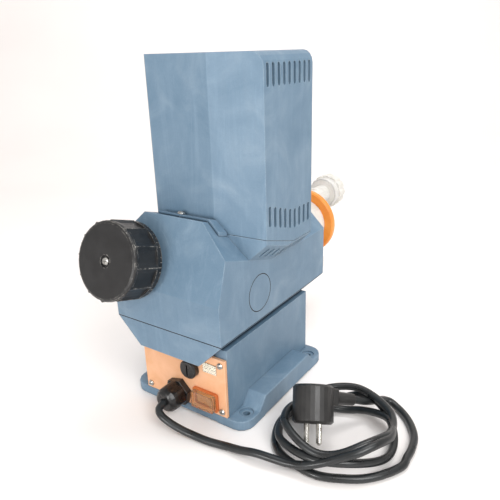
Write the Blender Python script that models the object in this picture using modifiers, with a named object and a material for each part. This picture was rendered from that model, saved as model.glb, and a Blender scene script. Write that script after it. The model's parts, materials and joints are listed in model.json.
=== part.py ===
"""A motor-driven diaphragm metering pump: housing, motor, worm drive, stroke setting, liquid end and mains lead.

Metres, +Z up. X runs across the pump, +Y points to the liquid end and the control panel faces -Y.
The origin is the middle of the bottom plate, on the surface that the pump stands on.
"""

import math

import bmesh
import bpy
from mathutils import Matrix, Vector

MM = 0.001
GAP = 0.3 * MM  # clearance between neighbouring pieces
WALL = 3.0 * MM  # wall of the moulded housing
WELD = 0.001 * MM

# Base: a foot flange with two stiffening ribs, and the pedestal on it
FLANGE_HALF_X = 64.5 * MM
FLANGE_NEAR = -65.0 * MM
FLANGE_FAR = 77.0 * MM
FLANGE_T = 9.0 * MM
FLANGE_CORNER = 13.0 * MM
FOOT_LIFT = 1.4 * MM  # the flange between the foot pads clears the floor by this
FOOT_LENGTH = 30.0 * MM
RIB_TOP = 20.0 * MM
RIB_RAMP = 10.0 * MM
RIB_END_GAP = 32.0 * MM  # from each end of the flange to the top of the rib's ramp
FOOT_HOLE_X = 54.5 * MM
FOOT_HOLE_IN = 16.0 * MM  # hole centre from the end of the flange
FOOT_HOLE_R = 3.3 * MM
FOOT_SINK_R = 6.5 * MM
FOOT_SINK_DEPTH = 1.2 * MM
PEDESTAL_HALF_X = 46.0 * MM
PEDESTAL_FAR = 72.5 * MM

# Gear housing: an eight-sided box, split at the seam; its near half leans back
GEAR_HALF_X = 55.7 * MM
GEAR_NEAR = -81.0 * MM
GEAR_FAR = 90.0 * MM
CHIN_Z = 64.6 * MM
SEAM_Z = 88.1 * MM
SHOULDER_Z = 136.0 * MM
ROOF_Z = 161.7 * MM
ROOF_HALF_X = 30.0 * MM
LEAN = math.radians(17.3)
LEAN_TOP_Y = -62.6 * MM
LEAN_TOP_Z = 180.2 * MM

# Motor hood: an octagon in plan, with shallow corners towards +X and square-cut ones towards -X
HOOD_RIGHT = 70.0 * MM
HOOD_LEFT = 55.0 * MM
HOOD_SIDE_Y = 35.7 * MM
HOOD_FACE_Y = 47.5 * MM
HOOD_FACE_HALF_X = 29.6 * MM
HOOD_CORNERS = (
    ((HOOD_RIGHT, HOOD_SIDE_Y), (HOOD_FACE_HALF_X, HOOD_FACE_Y)),
    ((-HOOD_FACE_HALF_X, HOOD_FACE_Y), (-HOOD_LEFT, HOOD_FACE_Y - (HOOD_LEFT - HOOD_FACE_HALF_X))),
)
HOOD_TOP = 300.0 * MM
HOOD_ROUND = 10.0 * MM
HOOD_WALL = 2.5 * MM
HOOD_SEAM_NEAR_Z = 163.7 * MM  # height of the hood's lower edge at its near corner
HOOD_SEAM_Z = 151.1 * MM  # and along its far half
LIP_T = 2.0 * MM
LIP_NEAR = -56.0 * MM
LIP_X = (-21.0 * MM, 39.6 * MM)

# Vents: nine slots a row
SLOTS = 9
SLOT_PITCH = 7.6 * MM
SLOT_W = 3.7 * MM
TOP_SLOT_Z = (275.7 * MM, 292.2 * MM)
LOW_SLOT_LENGTH = 16.5 * MM
LOW_SLOT_LIFT = 11.0 * MM  # above the hood's lower edge
CORBEL_SLOT_LENGTH = 12.0 * MM
LEFT_SLOT_Y = 16.0 * MM  # the narrower left side has slots up to here

# Control panel and what is on it
PANEL_T = 3.0 * MM
PANEL_SCREWS = (
    (-41.0 * MM, 14.0 * MM),
    (41.0 * MM, 14.0 * MM),
    (-41.0 * MM, 59.0 * MM),
    (41.0 * MM, 59.0 * MM),
)
SCREW_HEAD_R = 2.9 * MM
SCREW_SHANK_R = 1.6 * MM
FUSE_X, FUSE_Z = 9.5 * MM, 47.5 * MM
FUSE_CAP_R = 8.6 * MM
FUSE_BODY_R = 6.2 * MM
FUSE_BODY_LENGTH = 24.0 * MM
SWITCH_X, SWITCH_Z = 24.3 * MM, 21.2 * MM
SWITCH_HALF_X, SWITCH_HALF_Z = 13.2 * MM, 9.0 * MM
ROCKER_HALF_X, ROCKER_HALF_Z = 9.6 * MM, 5.6 * MM
SWITCH_TILT = math.radians(8.0)
GLAND_X, GLAND_Z = -5.0 * MM, 19.6 * MM
GLAND_HEX_R = 13.2 * MM
GLAND_BARREL_R = 7.8 * MM
LABEL_BOX = ((23.0 * MM, 48.5 * MM), (37.0 * MM, 57.5 * MM))
LABEL_T = 0.5 * MM

# Drive
ROD_Z = 117.0 * MM
WHEEL_Y = -25.2 * MM
WHEEL_Z = 112.8 * MM
WHEEL_TEETH = 20
WHEEL_TIP_R = 17.3 * MM
WHEEL_ROOT_R = 14.9 * MM
WHEEL_TOOTH = ((0.0, WHEEL_ROOT_R), (0.24, WHEEL_ROOT_R), (0.46, WHEEL_TIP_R), (0.78, WHEEL_TIP_R))
WHEEL_HALF_T = 6.5 * MM
SHAFT_R = 5.0 * MM
CAM_R = 9.0 * MM
CAM_THROW = 2.5 * MM
CAM_X = (8.5 * MM, 15.5 * MM)
BEARING_X = (22.0 * MM, 29.0 * MM)
WORM_CORE_R = 5.6 * MM
WORM_TIP_R = 7.4 * MM
WORM_PITCH = 5.2 * MM
WORM_Z = (99.0 * MM, 127.0 * MM)
STROKE = 5.0 * MM
ARM_X = (13.0 * MM, 18.5 * MM)
ROD_R = 6.0 * MM
SIDE_PLUG_R = 16.2 * MM

# Motor
MOTOR_R = 41.0 * MM
MOTOR_FLANGE_Z = 178.0 * MM
STATOR_Z = (192.0 * MM, 246.0 * MM)
ROTOR_R = 23.5 * MM
MOTOR_TOP = 258.0 * MM
FAN_Z = (262.0 * MM, 272.0 * MM)
FAN_R = 33.0 * MM
FAN_BLADES = 7

# Stroke knob: its axis leans with the near face
KNOB_X = -30.0 * MM
KNOB_DOWN = 40.2 * MM  # from the top edge of the leaning face, along it
KNOB_R = 32.5 * MM
KNOB_T = 29.3 * MM
KNOB_STAND_OFF = 7.0 * MM
KNOB_GROOVE = 2.3 * MM
KNOB_RIM = 5.0 * MM  # the rear rim, which carries the scale
KNOB_SCREW_SEAT = 1.2 * MM
KNOB_LOBES = 12
SPINDLE_R = 3.0 * MM

# Liquid end
LANTERN_R = 27.0 * MM
LANTERN_FLANGE_R = 32.0 * MM
LANTERN_FAR = 150.0 * MM
RING_R = 36.5 * MM
RING_T = 7.5 * MM
HEAD_R = 29.0 * MM
HEAD_T = 28.0 * MM
HEAD_CORE_R = 18.3 * MM
HEAD_FLANGE_T = 7.0 * MM
CHEST_HALF_X = 9.0 * MM
CHEST_Z = (-36.0 * MM, 31.0 * MM)  # from the rod's axis
PORT_OFFSET = 22.4 * MM
BALL_R = 4.2 * MM
BALL_LIFT = 1.5 * MM
NUT_R = 19.6 * MM
SUCTION_NUT_R = 12.8 * MM
NUT_LOBES = 12
HEAD_SCREW_AT = 17.2 * MM

# Mains lead. The route's points are (x, y, height of the middle of the lead)
LEAD_R = 3.2 * MM
COIL_CENTRE = (131.0 * MM, -33.5 * MM)
COIL_R = (29.0 * MM, 51.0 * MM)
COIL_Z = (0.3 * MM, 12.0 * MM)
LEAD_ROUTE = (
    (-5.0, -82.0, 19.6),
    (-5.0, -88.5, 19.6),
    (-4.0, -94.5, 18.2),
    (1.0, -97.5, 15.6),
    (9.0, -97.0, 11.6),
    (18.0, -95.0, 7.6),
    (29.0, -92.5, 4.6),
    (45.0, -90.5, 3.4),
    (61.0, -88.0, 4.0),
    (76.0, -87.2, 5.9),
    (91.0, -86.0, 8.8),
)
TAIL_ROUTE = (
    (185.8, -36.0, 3.4),
    (186.8, -24.0, 3.4),
    (186.5, -11.5, 3.4),
    (183.0, 4.0, 3.4),
    (173.0, 20.0, 3.4),
    (160.8, 30.2, 3.9),
    (149.0, 31.0, 8.0),
)
TAIL_RISE = 16.0 * MM  # the last stretch runs straight into the plug

# Plug: pins, pair and cable directions form its own frame
PLUG_TIP = Vector((113.4, -50.4, 2.1)) * MM
PLUG_PIN_DIR = Vector((0.290, -0.570, -0.770)).normalized()
PLUG_PAIR_DIR = Vector((0.760, -0.350, 0.550))
PIN_SPACING = 19.0 * MM
PIN_LENGTH = 19.0 * MM
PIN_R = 2.4 * MM
PLUG_R = 16.6 * MM
PLUG_HEIGHT = 27.0 * MM
PLUG_RIM = 3.0 * MM  # the skirt round the pins' face
RELIEF_END = 38.5 * MM  # from the plug's axis
RELIEF_Z = 18.5 * MM

COLOURS = {
    # name: (sRGB red, green, blue, roughness, metallic)
    "housing_blue": (92, 120, 148, 0.55, 0.0),
    "panel_orange": (240, 172, 118, 0.6, 0.0),
    "ring_orange": (246, 140, 60, 0.5, 0.0),
    "knob_black": (38, 38, 40, 0.5, 0.0),
    "steel": (190, 190, 188, 0.3, 1.0),
    "dark_steel": (110, 110, 112, 0.45, 1.0),
    "bronze": (176, 128, 70, 0.4, 1.0),
    "white_plastic": (232, 228, 218, 0.45, 0.0),
    "membrane": (60, 60, 62, 0.7, 0.0),
    "black_plastic": (34, 34, 36, 0.45, 0.0),
    "amber": (196, 130, 60, 0.25, 0.0),
    "label": (236, 234, 226, 0.6, 0.0),
    "copper": (184, 110, 72, 0.4, 1.0),
    "lead_grey": (58, 62, 66, 0.5, 0.0),
    "aluminium": (176, 178, 180, 0.45, 1.0),
    "ceramic": (240, 238, 232, 0.3, 0.0),
}


# ---------------------------------------------------------------- tools


def clear_scene():
    for obj in list(bpy.data.objects):
        bpy.data.objects.remove(obj, do_unlink=True)


def new_collection(name):
    collection = bpy.data.collections.new(name)
    bpy.context.scene.collection.children.link(collection)
    return collection


def linear(channel):
    c = channel / 255.0
    return c / 12.92 if c <= 0.04045 else ((c + 0.055) / 1.055) ** 2.4


def material(name):
    found = bpy.data.materials.get(name)
    if found:
        return found
    red, green, blue, roughness, metallic = COLOURS[name]
    made = bpy.data.materials.new(name)
    made.use_nodes = True
    shader = made.node_tree.nodes["Principled BSDF"]
    shader.inputs["Base Color"].default_value = (linear(red), linear(green), linear(blue), 1.0)
    shader.inputs["Roughness"].default_value = roughness
    shader.inputs["Metallic"].default_value = metallic
    return made


def solid(name, mesh, matrix=None):
    """An object of this mesh in the pump's collection; matrix is baked into the mesh."""
    if matrix is not None:
        mesh.transform(matrix)
    obj = bpy.data.objects.new(name, mesh)
    PUMP.objects.link(obj)
    return obj


def evaluated_mesh(obj):
    bpy.context.view_layer.update()
    graph = bpy.context.evaluated_depsgraph_get()
    return bpy.data.meshes.new_from_object(obj.evaluated_get(graph))


def bake(obj):
    """Turns the object's modifiers into its mesh."""
    mesh = evaluated_mesh(obj)
    old = obj.data
    obj.modifiers.clear()
    obj.data = mesh
    bpy.data.meshes.remove(old)
    return obj


def weld(mesh):
    """Merges points that a Boolean leaves under a micrometre apart."""
    shape = bmesh.new()
    shape.from_mesh(mesh)
    bmesh.ops.remove_doubles(shape, verts=shape.verts, dist=WELD)
    bmesh.ops.dissolve_degenerate(shape, edges=shape.edges, dist=WELD)
    shape.to_mesh(mesh)
    shape.free()


def combine(obj, other, operation):
    modifier = obj.modifiers.new(operation.lower(), "BOOLEAN")
    modifier.operation = operation
    modifier.object = other
    bake(obj)
    bpy.data.objects.remove(other, do_unlink=True)
    weld(obj.data)
    return obj


def join(obj, *others):
    for other in others:
        combine(obj, other, "UNION")
    return obj


def cut(obj, *others):
    for other in others:
        combine(obj, other, "DIFFERENCE")
    return obj


def bevel(obj, width, segments=2, angle=50.0):
    modifier = obj.modifiers.new("bevel", "BEVEL")
    modifier.width = width
    modifier.segments = segments
    modifier.limit_method = "ANGLE"
    modifier.angle_limit = math.radians(angle)
    return bake(obj)


AXIS_FRAMES = {
    # a flat outline's (x, y) and its thickness, turned to the world's axes
    "X": Matrix(((0, 0, 1), (1, 0, 0), (0, 1, 0))).to_4x4(),
    "Y": Matrix(((1, 0, 0), (0, 0, -1), (0, 1, 0))).to_4x4(),
    "Z": Matrix.Identity(4),
}


def flat(outline, low, high):
    """A closed mesh: the outline filled and thickened from low to high along its normal."""
    curve = bpy.data.curves.new("outline", "CURVE")
    curve.dimensions = "2D"
    curve.fill_mode = "BOTH"
    curve.extrude = (high - low) / 2
    spline = curve.splines.new("POLY")
    spline.points.add(len(outline) - 1)
    for point, (x, y) in zip(spline.points, outline):
        point.co = (x, y, 0.0, 1.0)
    spline.use_cyclic_u = True
    guide = bpy.data.objects.new("outline", curve)
    CUTTERS.objects.link(guide)
    mesh = evaluated_mesh(guide)
    bpy.data.objects.remove(guide, do_unlink=True)
    bpy.data.curves.remove(curve)
    shape = bmesh.new()
    shape.from_mesh(mesh)
    bmesh.ops.remove_doubles(shape, verts=shape.verts, dist=WELD)
    bmesh.ops.dissolve_limit(shape, angle_limit=1e-3, verts=shape.verts, edges=shape.edges)
    bmesh.ops.recalc_face_normals(shape, faces=shape.faces)
    shape.to_mesh(mesh)
    shape.free()
    mesh.transform(Matrix.Translation((0, 0, (low + high) / 2)))
    return mesh


def prism(name, outline, axis, low, high):
    """An outline in the plane across axis, from low to high along it. Across Y the outline is (x, z)."""
    if axis == "Y":
        low, high = -high, -low
    return solid(name, flat(outline, low, high), AXIS_FRAMES[axis])


def box(name, low, high):
    shape = bmesh.new()
    bmesh.ops.create_cube(shape, size=1.0)
    size = [h - l for l, h in zip(low, high)]
    middle = [(h + l) / 2 for l, h in zip(low, high)]
    bmesh.ops.transform(
        shape, matrix=Matrix.Translation(middle) @ Matrix.Diagonal((*size, 1.0)), verts=shape.verts
    )
    mesh = bpy.data.meshes.new(name)
    shape.to_mesh(mesh)
    shape.free()
    return solid(name, mesh)


def along(point, direction):
    """A frame at point with its Z along direction."""
    return Matrix.Translation(point) @ Vector(direction).to_track_quat("Z", "Y").to_matrix().to_4x4()


def turned(name, profile, point=(0, 0, 0), direction=(0, 0, 1), steps=32, ring=False):
    """A turned solid: (radius, height) down its outer side; a ring's profile is a closed loop."""
    mesh = bpy.data.meshes.new(name)
    count = len(profile)
    edges = [(i, i + 1) for i in range(count - 1)] + ([(count - 1, 0)] if ring else [])
    mesh.from_pydata([(r, 0.0, h) for r, h in profile], edges, [])
    obj = solid(name, mesh)
    screw = obj.modifiers.new("screw", "SCREW")
    screw.steps = screw.render_steps = steps
    screw.use_merge_vertices = True
    screw.merge_threshold = 1e-5
    screw.use_smooth_shade = False
    bake(obj)
    obj.data.transform(along(point, direction))
    return obj


def cylinder(name, radius, point, direction, length, steps=24):
    profile = ((0.0, length), (radius, length), (radius, 0.0), (0.0, 0.0))
    return turned(name, profile, point, direction, steps)


def trim(obj, point, normal):
    """Removes what lies on the side that normal points to, and closes the cut."""
    shape = bmesh.new()
    shape.from_mesh(obj.data)
    parts = list(shape.verts) + list(shape.edges) + list(shape.faces)
    result = bmesh.ops.bisect_plane(
        shape, geom=parts, dist=1e-7, plane_co=point, plane_no=normal, clear_outer=True
    )
    rim = [item for item in result["geom_cut"] if isinstance(item, bmesh.types.BMEdge)]
    if rim:
        bmesh.ops.contextual_create(shape, geom=rim)
    bmesh.ops.recalc_face_normals(shape, faces=shape.faces)
    shape.to_mesh(obj.data)
    shape.free()
    return obj


def arc(centre, radius, start, end, steps):
    """Points of an arc, both ends in it; angles in degrees."""
    points = []
    for i in range(steps + 1):
        angle = math.radians(start + (end - start) * i / steps)
        points.append((centre[0] + radius * math.cos(angle), centre[1] + radius * math.sin(angle)))
    return points


def polygon(radius, sides, turn=0.0):
    return [
        (radius * math.cos(2 * math.pi * i / sides + turn), radius * math.sin(2 * math.pi * i / sides + turn))
        for i in range(sides)
    ]


def rounded(low, high, radius, steps=3):
    """A rectangle's outline with round corners."""
    (x0, y0), (x1, y1) = low, high
    corners = (
        ((x1 - radius, y0 + radius), -90),
        ((x1 - radius, y1 - radius), 0),
        ((x0 + radius, y1 - radius), 90),
        ((x0 + radius, y0 + radius), 180),
    )
    points = []
    for centre, start in corners:
        points += arc(centre, radius, start, start + 90, steps)
    return points


def finish(obj, colour, smooth=None):
    obj.data.materials.clear()
    obj.data.materials.append(material(colour))
    if smooth:
        obj.data.shade_smooth()
        obj.data.set_sharp_from_angle(angle=math.radians(smooth))
    return obj


def origin_at(obj, point):
    """Moves the object's origin without moving its shape."""
    obj.data.transform(Matrix.Translation(-Vector(point)))
    obj.location = point
    return obj


# ---------------------------------------------------------------- shared shapes

LEAN_NORMAL = Vector((0, -math.cos(LEAN), math.sin(LEAN)))  # out of the leaning face
LEAN_UP = Vector((0, math.sin(LEAN), math.cos(LEAN)))  # up along it, square to the sloping roof
LEAN_TOP = Vector((0, LEAN_TOP_Y, LEAN_TOP_Z))


def lower_gear(name, grow):
    """The gear housing below its seam; grow moves every wall out, so a negative value gives the cavity."""
    slant = grow * math.sqrt(2)
    bevel_x = GEAR_HALF_X + slant - (SEAM_Z - (CHIN_Z - grow))
    outline = [
        (-GEAR_HALF_X - grow, SEAM_Z),
        (-bevel_x, CHIN_Z - grow),
        (bevel_x, CHIN_Z - grow),
        (GEAR_HALF_X + grow, SEAM_Z),
    ]
    if grow < 0:
        top = SEAM_Z + WALL
        edge_x = min(GEAR_HALF_X + grow, GEAR_HALF_X + slant + (top - SEAM_Z))
        outline = [(-edge_x, top), (-bevel_x, CHIN_Z - grow), (bevel_x, CHIN_Z - grow), (edge_x, top)]
    return prism(name, outline, "Y", GEAR_NEAR - grow, GEAR_FAR + grow)


def level_half(name, grow, low):
    slant = grow * math.tan(math.radians(22.5))
    side, shoulder = GEAR_HALF_X + grow, SHOULDER_Z + slant
    outline = [
        (-side, low),
        (side, low),
        (side, shoulder),
        (ROOF_HALF_X + slant, ROOF_Z + grow),
        (-ROOF_HALF_X - slant, ROOF_Z + grow),
        (-side, shoulder),
    ]
    return prism(name, outline, "Y", -30 * MM, GEAR_FAR + grow)


def leaning_half(name, grow, low):
    """The near half: an eight-sided section that runs square to the leaning face."""
    slant = grow * math.tan(math.radians(22.5))
    drop = GEAR_HALF_X - ROOF_HALF_X
    side = GEAR_HALF_X + grow
    outline = [
        (-side, -120 * MM),
        (side, -120 * MM),
        (side, slant - drop),
        (ROOF_HALF_X + slant, grow),
        (-ROOF_HALF_X - slant, grow),
        (-side, slant - drop),
    ]
    frame = Matrix.Translation(LEAN_TOP) @ Matrix.Rotation(LEAN, 4, "X").inverted() @ AXIS_FRAMES["Y"]
    obj = solid(name, flat(outline, -90 * MM, grow), frame)
    trim(obj, (0, 0, low), (0, 0, -1))
    trim(obj, (0, GEAR_NEAR - grow, 0), (0, -1, 0))
    return trim(obj, (0, 12 * MM, 0), (0, 1, 0))


def upper_gear(name, grow, low):
    """The gear housing above its seam, from low upwards."""
    return join(level_half(name, grow, low), leaning_half("leaning", grow, low))


def slope_at(point, y):
    """Height at y of the line through point that falls with the sloping roof."""
    return point[1] - math.tan(LEAN) * (y - point[0])


def hood_block(name, inset, low):
    """The hood's plan, filled, from low to its round-edged top."""
    left, right = inset - HOOD_LEFT, HOOD_RIGHT - inset
    top, radius = HOOD_TOP - inset, HOOD_ROUND - inset / 2
    outline = [(right, low)]
    outline += arc((right - radius, top - radius), radius, 0, 90, 4)
    outline += arc((left + radius, top - radius), radius, 90, 180, 4)
    outline += [(left, low)]
    obj = prism(name, outline, "Y", -HOOD_FACE_Y + inset, HOOD_FACE_Y - inset)
    for (x0, y0), (x1, y1) in HOOD_CORNERS:
        for sy in (-1, 1):
            normal = Vector((y1 - y0, sy * (x0 - x1), 0)).normalized()
            trim(obj, Vector((x0, sy * y0, 0)) - normal * inset, normal)
    return obj


def above_hood_seam(obj, lift):
    """Keeps what lies above the hood's lower edge, raised by lift."""
    near = Vector((0, -HOOD_SIDE_Y, HOOD_SEAM_NEAR_Z)) + LEAN_UP * lift
    trim(obj, near, -LEAN_UP)
    return trim(obj, (0, 0, HOOD_SEAM_Z + lift), (0, 0, -1))


def above_corbel(obj, rise):
    """Keeps what lies above the four sloping planes that carry the hood out over the gear housing."""
    for side in (-1, 1):
        foot = Vector((side * GEAR_HALF_X, 0, SHOULDER_Z))
        trim(obj, foot + Vector((0, 0, rise * math.sqrt(2))), Vector((side, 0, -1)).normalized())
        edge = LEAN_TOP - LEAN_UP * (GEAR_HALF_X - ROOF_HALF_X) + Vector((side * GEAR_HALF_X, 0, 0))
        trim(obj, edge + LEAN_UP * (rise * math.sqrt(2)), (Vector((side, 0, 0)) - LEAN_UP).normalized())
    return obj


def slot_places():
    return [(i - (SLOTS - 1) / 2) * SLOT_PITCH for i in range(SLOTS)]


# ---------------------------------------------------------------- housing


def make_base():
    rib_low, rib_high = FLANGE_NEAR + RIB_END_GAP, FLANGE_FAR - RIB_END_GAP
    side = [
        (FLANGE_NEAR, 0.0),
        (FLANGE_FAR, 0.0),
        (FLANGE_FAR, FLANGE_T),
        (rib_high + RIB_RAMP, FLANGE_T),
        (rib_high, RIB_TOP),
        (rib_low, RIB_TOP),
        (rib_low - RIB_RAMP, FLANGE_T),
        (FLANGE_NEAR, FLANGE_T),
    ]
    base = prism("base_housing", side, "X", -FLANGE_HALF_X, FLANGE_HALF_X)
    plan = rounded((-FLANGE_HALF_X, FLANGE_NEAR), (FLANGE_HALF_X, FLANGE_FAR), FLANGE_CORNER, 4)
    combine(base, prism("plan", plan, "Z", -MM, 40 * MM), "INTERSECT")
    bevel(base, 1.6 * MM, 2, 40)
    reach = 100 * MM
    middle = (FLANGE_NEAR + FOOT_LENGTH, FLANGE_FAR - FOOT_LENGTH)
    cut(base, box("lift", (-reach, middle[0], -MM), (reach, middle[1], FOOT_LIFT)))
    narrow = FLANGE_HALF_X - FOOT_LENGTH
    cut(base, box("lift", (-narrow, -reach, -MM), (narrow, reach, FOOT_LIFT)))

    pedestal_near = FLANGE_NEAR + PANEL_T
    low, high = (-PEDESTAL_HALF_X, pedestal_near, FLANGE_T / 2), (PEDESTAL_HALF_X, PEDESTAL_FAR, CHIN_Z + 8 * MM)
    join(base, box("pedestal", low, high), lower_gear("lower", 0.0))
    inner = PEDESTAL_HALF_X - WALL
    room_top = CHIN_Z - WALL
    cut(base, box("room", (-inner, pedestal_near + WALL, -MM), (inner, PEDESTAL_FAR - WALL, room_top)))
    window = rounded((-37 * MM, FLANGE_T + 2 * MM), (37 * MM, room_top - 2 * MM), 4 * MM, 2)
    cut(base, prism("window", window, "Y", pedestal_near - MM, pedestal_near + WALL + MM))
    cut(base, lower_gear("trough", -WALL))
    for x, z in PANEL_SCREWS:
        cut(base, cylinder("screw", SCREW_SHANK_R + GAP, (x, pedestal_near - MM, z), (0, 1, 0), 6 * MM, 12))
    for x in (-FOOT_HOLE_X, FOOT_HOLE_X):
        for y in (FLANGE_NEAR + FOOT_HOLE_IN, FLANGE_FAR - FOOT_HOLE_IN):
            cut(base, cylinder("hole", FOOT_HOLE_R, (x, y, -MM), (0, 0, 1), 20 * MM, 16))
            cut(base, cylinder("sink", FOOT_SINK_R, (x, y, FLANGE_T - FOOT_SINK_DEPTH), (0, 0, 1), 20 * MM, 16))
    finish(base, "housing_blue")

    edge = inner - GAP
    low, high = (-edge, pedestal_near + WALL + GAP, 0.0), (edge, PEDESTAL_FAR - WALL - GAP, 2 * MM)
    finish(box("bottom_plate", low, high), "dark_steel")


def make_gear_cover():
    cover = upper_gear("gear_cover", 0.0, SEAM_Z + GAP)
    plinth = above_corbel(hood_block("plinth", 0.0, SHOULDER_Z), 0.0)
    combine(plinth, above_hood_seam(hood_block("hood_space", -MM, SHOULDER_Z), 0.0), "DIFFERENCE")
    room = above_corbel(hood_block("bay", WALL, SHOULDER_Z), WALL)
    combine(plinth, room, "DIFFERENCE")
    join(cover, plinth)
    cut(cover, upper_gear("cavity", -WALL, SEAM_Z - WALL))
    for y in slot_places():
        cut(cover, corbel_slot(y))
    for side in (-1, 1):
        spot = (side * (GEAR_HALF_X + MM), WHEEL_Y, WHEEL_Z)
        cut(cover, cylinder("plug_hole", SIDE_PLUG_R, spot, (-side, 0, 0), WALL + 2 * MM, 40))
    cut(cover, cylinder("motor_bore", 22 * MM, (0, 0, ROOF_Z - 12 * MM), (0, 0, 1), 40 * MM, 40))
    cut(cover, cylinder("rod_bore", 20 * MM, (0, GEAR_FAR + MM, ROD_Z), (0, -1, 0), WALL + 3 * MM, 32))
    cut(cover, cylinder("bush_bore", 9 * MM, knob_foot() + LEAN_NORMAL * MM, -LEAN_NORMAL, WALL + 4 * MM, 24))
    cut(cover, cylinder("screw_bore", SCREW_SHANK_R + GAP, lip_point(), -LEAN_UP, 14 * MM, 12))
    finish(cover, "housing_blue")

    for side, label in ((1, "side_plug_right"), (-1, "side_plug_left")):
        profile = (
            (0.0, 0.0),
            (SIDE_PLUG_R - GAP, 0.0),
            (SIDE_PLUG_R - GAP, -WALL - GAP),
            (SIDE_PLUG_R + 2 * MM, -WALL - GAP),
            (SIDE_PLUG_R + 2 * MM, -WALL - 3 * MM),
            (0.0, -WALL - 3 * MM),
        )
        plug = turned(label, profile, (side * GEAR_HALF_X, WHEEL_Y, WHEEL_Z), (side, 0, 0), 40)
        finish(plug, "housing_blue", 30)


def corbel_slot(y):
    """A cutter for one sloping vent, which runs out and up the plane that carries the hood's right side."""
    edge = LEAN_TOP - LEAN_UP * (GEAR_HALF_X - ROOF_HALF_X)
    near_z = slope_at((edge.y, edge.z), y)
    up = LEAN_UP if near_z > SHOULDER_Z else Vector((0, 0, 1))
    out = Vector((1, 0, 0))
    foot = Vector((GEAR_HALF_X, y, max(near_z, SHOULDER_Z)))
    run = (out + up).normalized()
    across = run.cross(out - up).normalized()
    outline = rounded(
        (-SLOT_W / 2, -CORBEL_SLOT_LENGTH / 2), (SLOT_W / 2, CORBEL_SLOT_LENGTH / 2), SLOT_W / 2 - 0.01 * MM, 2
    )
    middle = foot + run * (HOOD_RIGHT - GEAR_HALF_X) / math.sqrt(2)
    frame = Matrix((across, run, across.cross(run))).transposed().to_4x4()
    return solid("slot", flat(outline, -8 * MM, 8 * MM), Matrix.Translation(middle) @ frame)


def lip_point():
    """The hood screw's place: on top of the hood's lip."""
    y = (LIP_NEAR - HOOD_FACE_Y) / 2 - 1.2 * MM
    distance = (y - LEAN_TOP_Y) / math.cos(LEAN)
    return LEAN_TOP - LEAN_NORMAL * distance + LEAN_UP * (GAP + LIP_T)


def make_hood():
    hood = above_hood_seam(hood_block("motor_hood", 0.0, SHOULDER_Z), GAP)
    cut(hood, hood_block("hood_room", HOOD_WALL, SHOULDER_Z - MM))
    cut(hood, upper_gear("under_hood", GAP, SEAM_Z))
    lip = leaning_half("lip", GAP + LIP_T, SEAM_Z)
    trim(lip, (0, LIP_NEAR, 0), (0, -1, 0))
    trim(lip, (0, -HOOD_FACE_Y + HOOD_WALL - 0.4 * MM, 0), (0, 1, 0))
    for side, x in zip((-1, 1), LIP_X):
        trim(lip, (x, 0, 0), (side, 0, 0))
    cut(lip, leaning_half("under_lip", GAP, SEAM_Z - MM))
    join(hood, lip)
    for y in slot_places():
        low = max(slope_at((-HOOD_SIDE_Y, HOOD_SEAM_NEAR_Z), y), HOOD_SEAM_Z) + LOW_SLOT_LIFT
        reach = -HOOD_LEFT - MM if abs(y) < LEFT_SLOT_Y else 0.0
        for z0, z1 in (TOP_SLOT_Z, (low, low + LOW_SLOT_LENGTH)):
            outline = rounded((y - SLOT_W / 2, z0), (y + SLOT_W / 2, z1), SLOT_W / 2 - 0.01 * MM, 2)
            cut(hood, prism("slot", outline, "X", reach, HOOD_RIGHT + MM))
    cut(hood, cylinder("screw", SCREW_SHANK_R + GAP, lip_point() + LEAN_UP * MM, -LEAN_UP, 8 * MM, 12))
    finish(hood, "housing_blue")
    screw = pan_screw("hood_screw", lip_point() + LEAN_UP * GAP, LEAN_UP, 3.4 * MM, 9 * MM)
    finish(screw, "steel", 40)


def pan_screw(name, point, direction, head_r, length):
    """A slotted pan-head screw; point is under the middle of its head."""
    height = head_r * 0.65
    profile = (
        (0.0, height),
        (head_r * 0.7, height * 0.85),
        (head_r, height * 0.25),
        (head_r, 0.0),
        (SCREW_SHANK_R, 0.0),
        (SCREW_SHANK_R, -length),
        (0.0, -length),
    )
    screw = turned(name, profile, steps=12)
    low, high = (-head_r * 1.2, -0.4 * MM, height * 0.6), (head_r * 1.2, 0.4 * MM, height * 1.2)
    cut(screw, box("slot", low, high))
    screw.data.transform(along(point, direction))
    return screw


# ---------------------------------------------------------------- control panel


def make_panel():
    near, far = FLANGE_NEAR, FLANGE_NEAR + PANEL_T - GAP
    low, high = (-PEDESTAL_HALF_X + 0.2 * MM, near, FLANGE_T + GAP), (PEDESTAL_HALF_X - 0.2 * MM, far, CHIN_Z - GAP)
    panel = box("rear_panel", low, high)
    through = PANEL_T + 2 * MM
    spots = [(FUSE_X, FUSE_Z, FUSE_BODY_R + GAP), (GLAND_X, GLAND_Z, GLAND_BARREL_R + GAP)]
    spots += [(x, z, SCREW_SHANK_R + GAP) for x, z in PANEL_SCREWS]
    for x, z, radius in spots:
        cut(panel, cylinder("hole", radius, (x, near - MM, z), (0, 1, 0), through, 20))
    body_x, body_z = SWITCH_HALF_X - 2 * MM, SWITCH_HALF_Z - 1.6 * MM
    low = (SWITCH_X - body_x - GAP, near - MM, SWITCH_Z - body_z - GAP)
    high = (SWITCH_X + body_x + GAP, far + MM, SWITCH_Z + body_z + GAP)
    cut(panel, box("switch_hole", low, high))
    finish(panel, "panel_orange")
    for number, (x, z) in enumerate(PANEL_SCREWS, 1):
        screw = pan_screw(f"panel_screw_{number}", (x, near - GAP, z), (0, -1, 0), SCREW_HEAD_R, 7.5 * MM)
        finish(screw, "steel", 40)
    low, high = (LABEL_BOX[0][0], near - GAP - LABEL_T, LABEL_BOX[0][1]), (LABEL_BOX[1][0], near - GAP, LABEL_BOX[1][1])
    finish(box("rating_label", low, high), "label")
    make_fuse(near)
    make_switch(near, body_x, body_z)
    make_gland(near)


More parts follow.
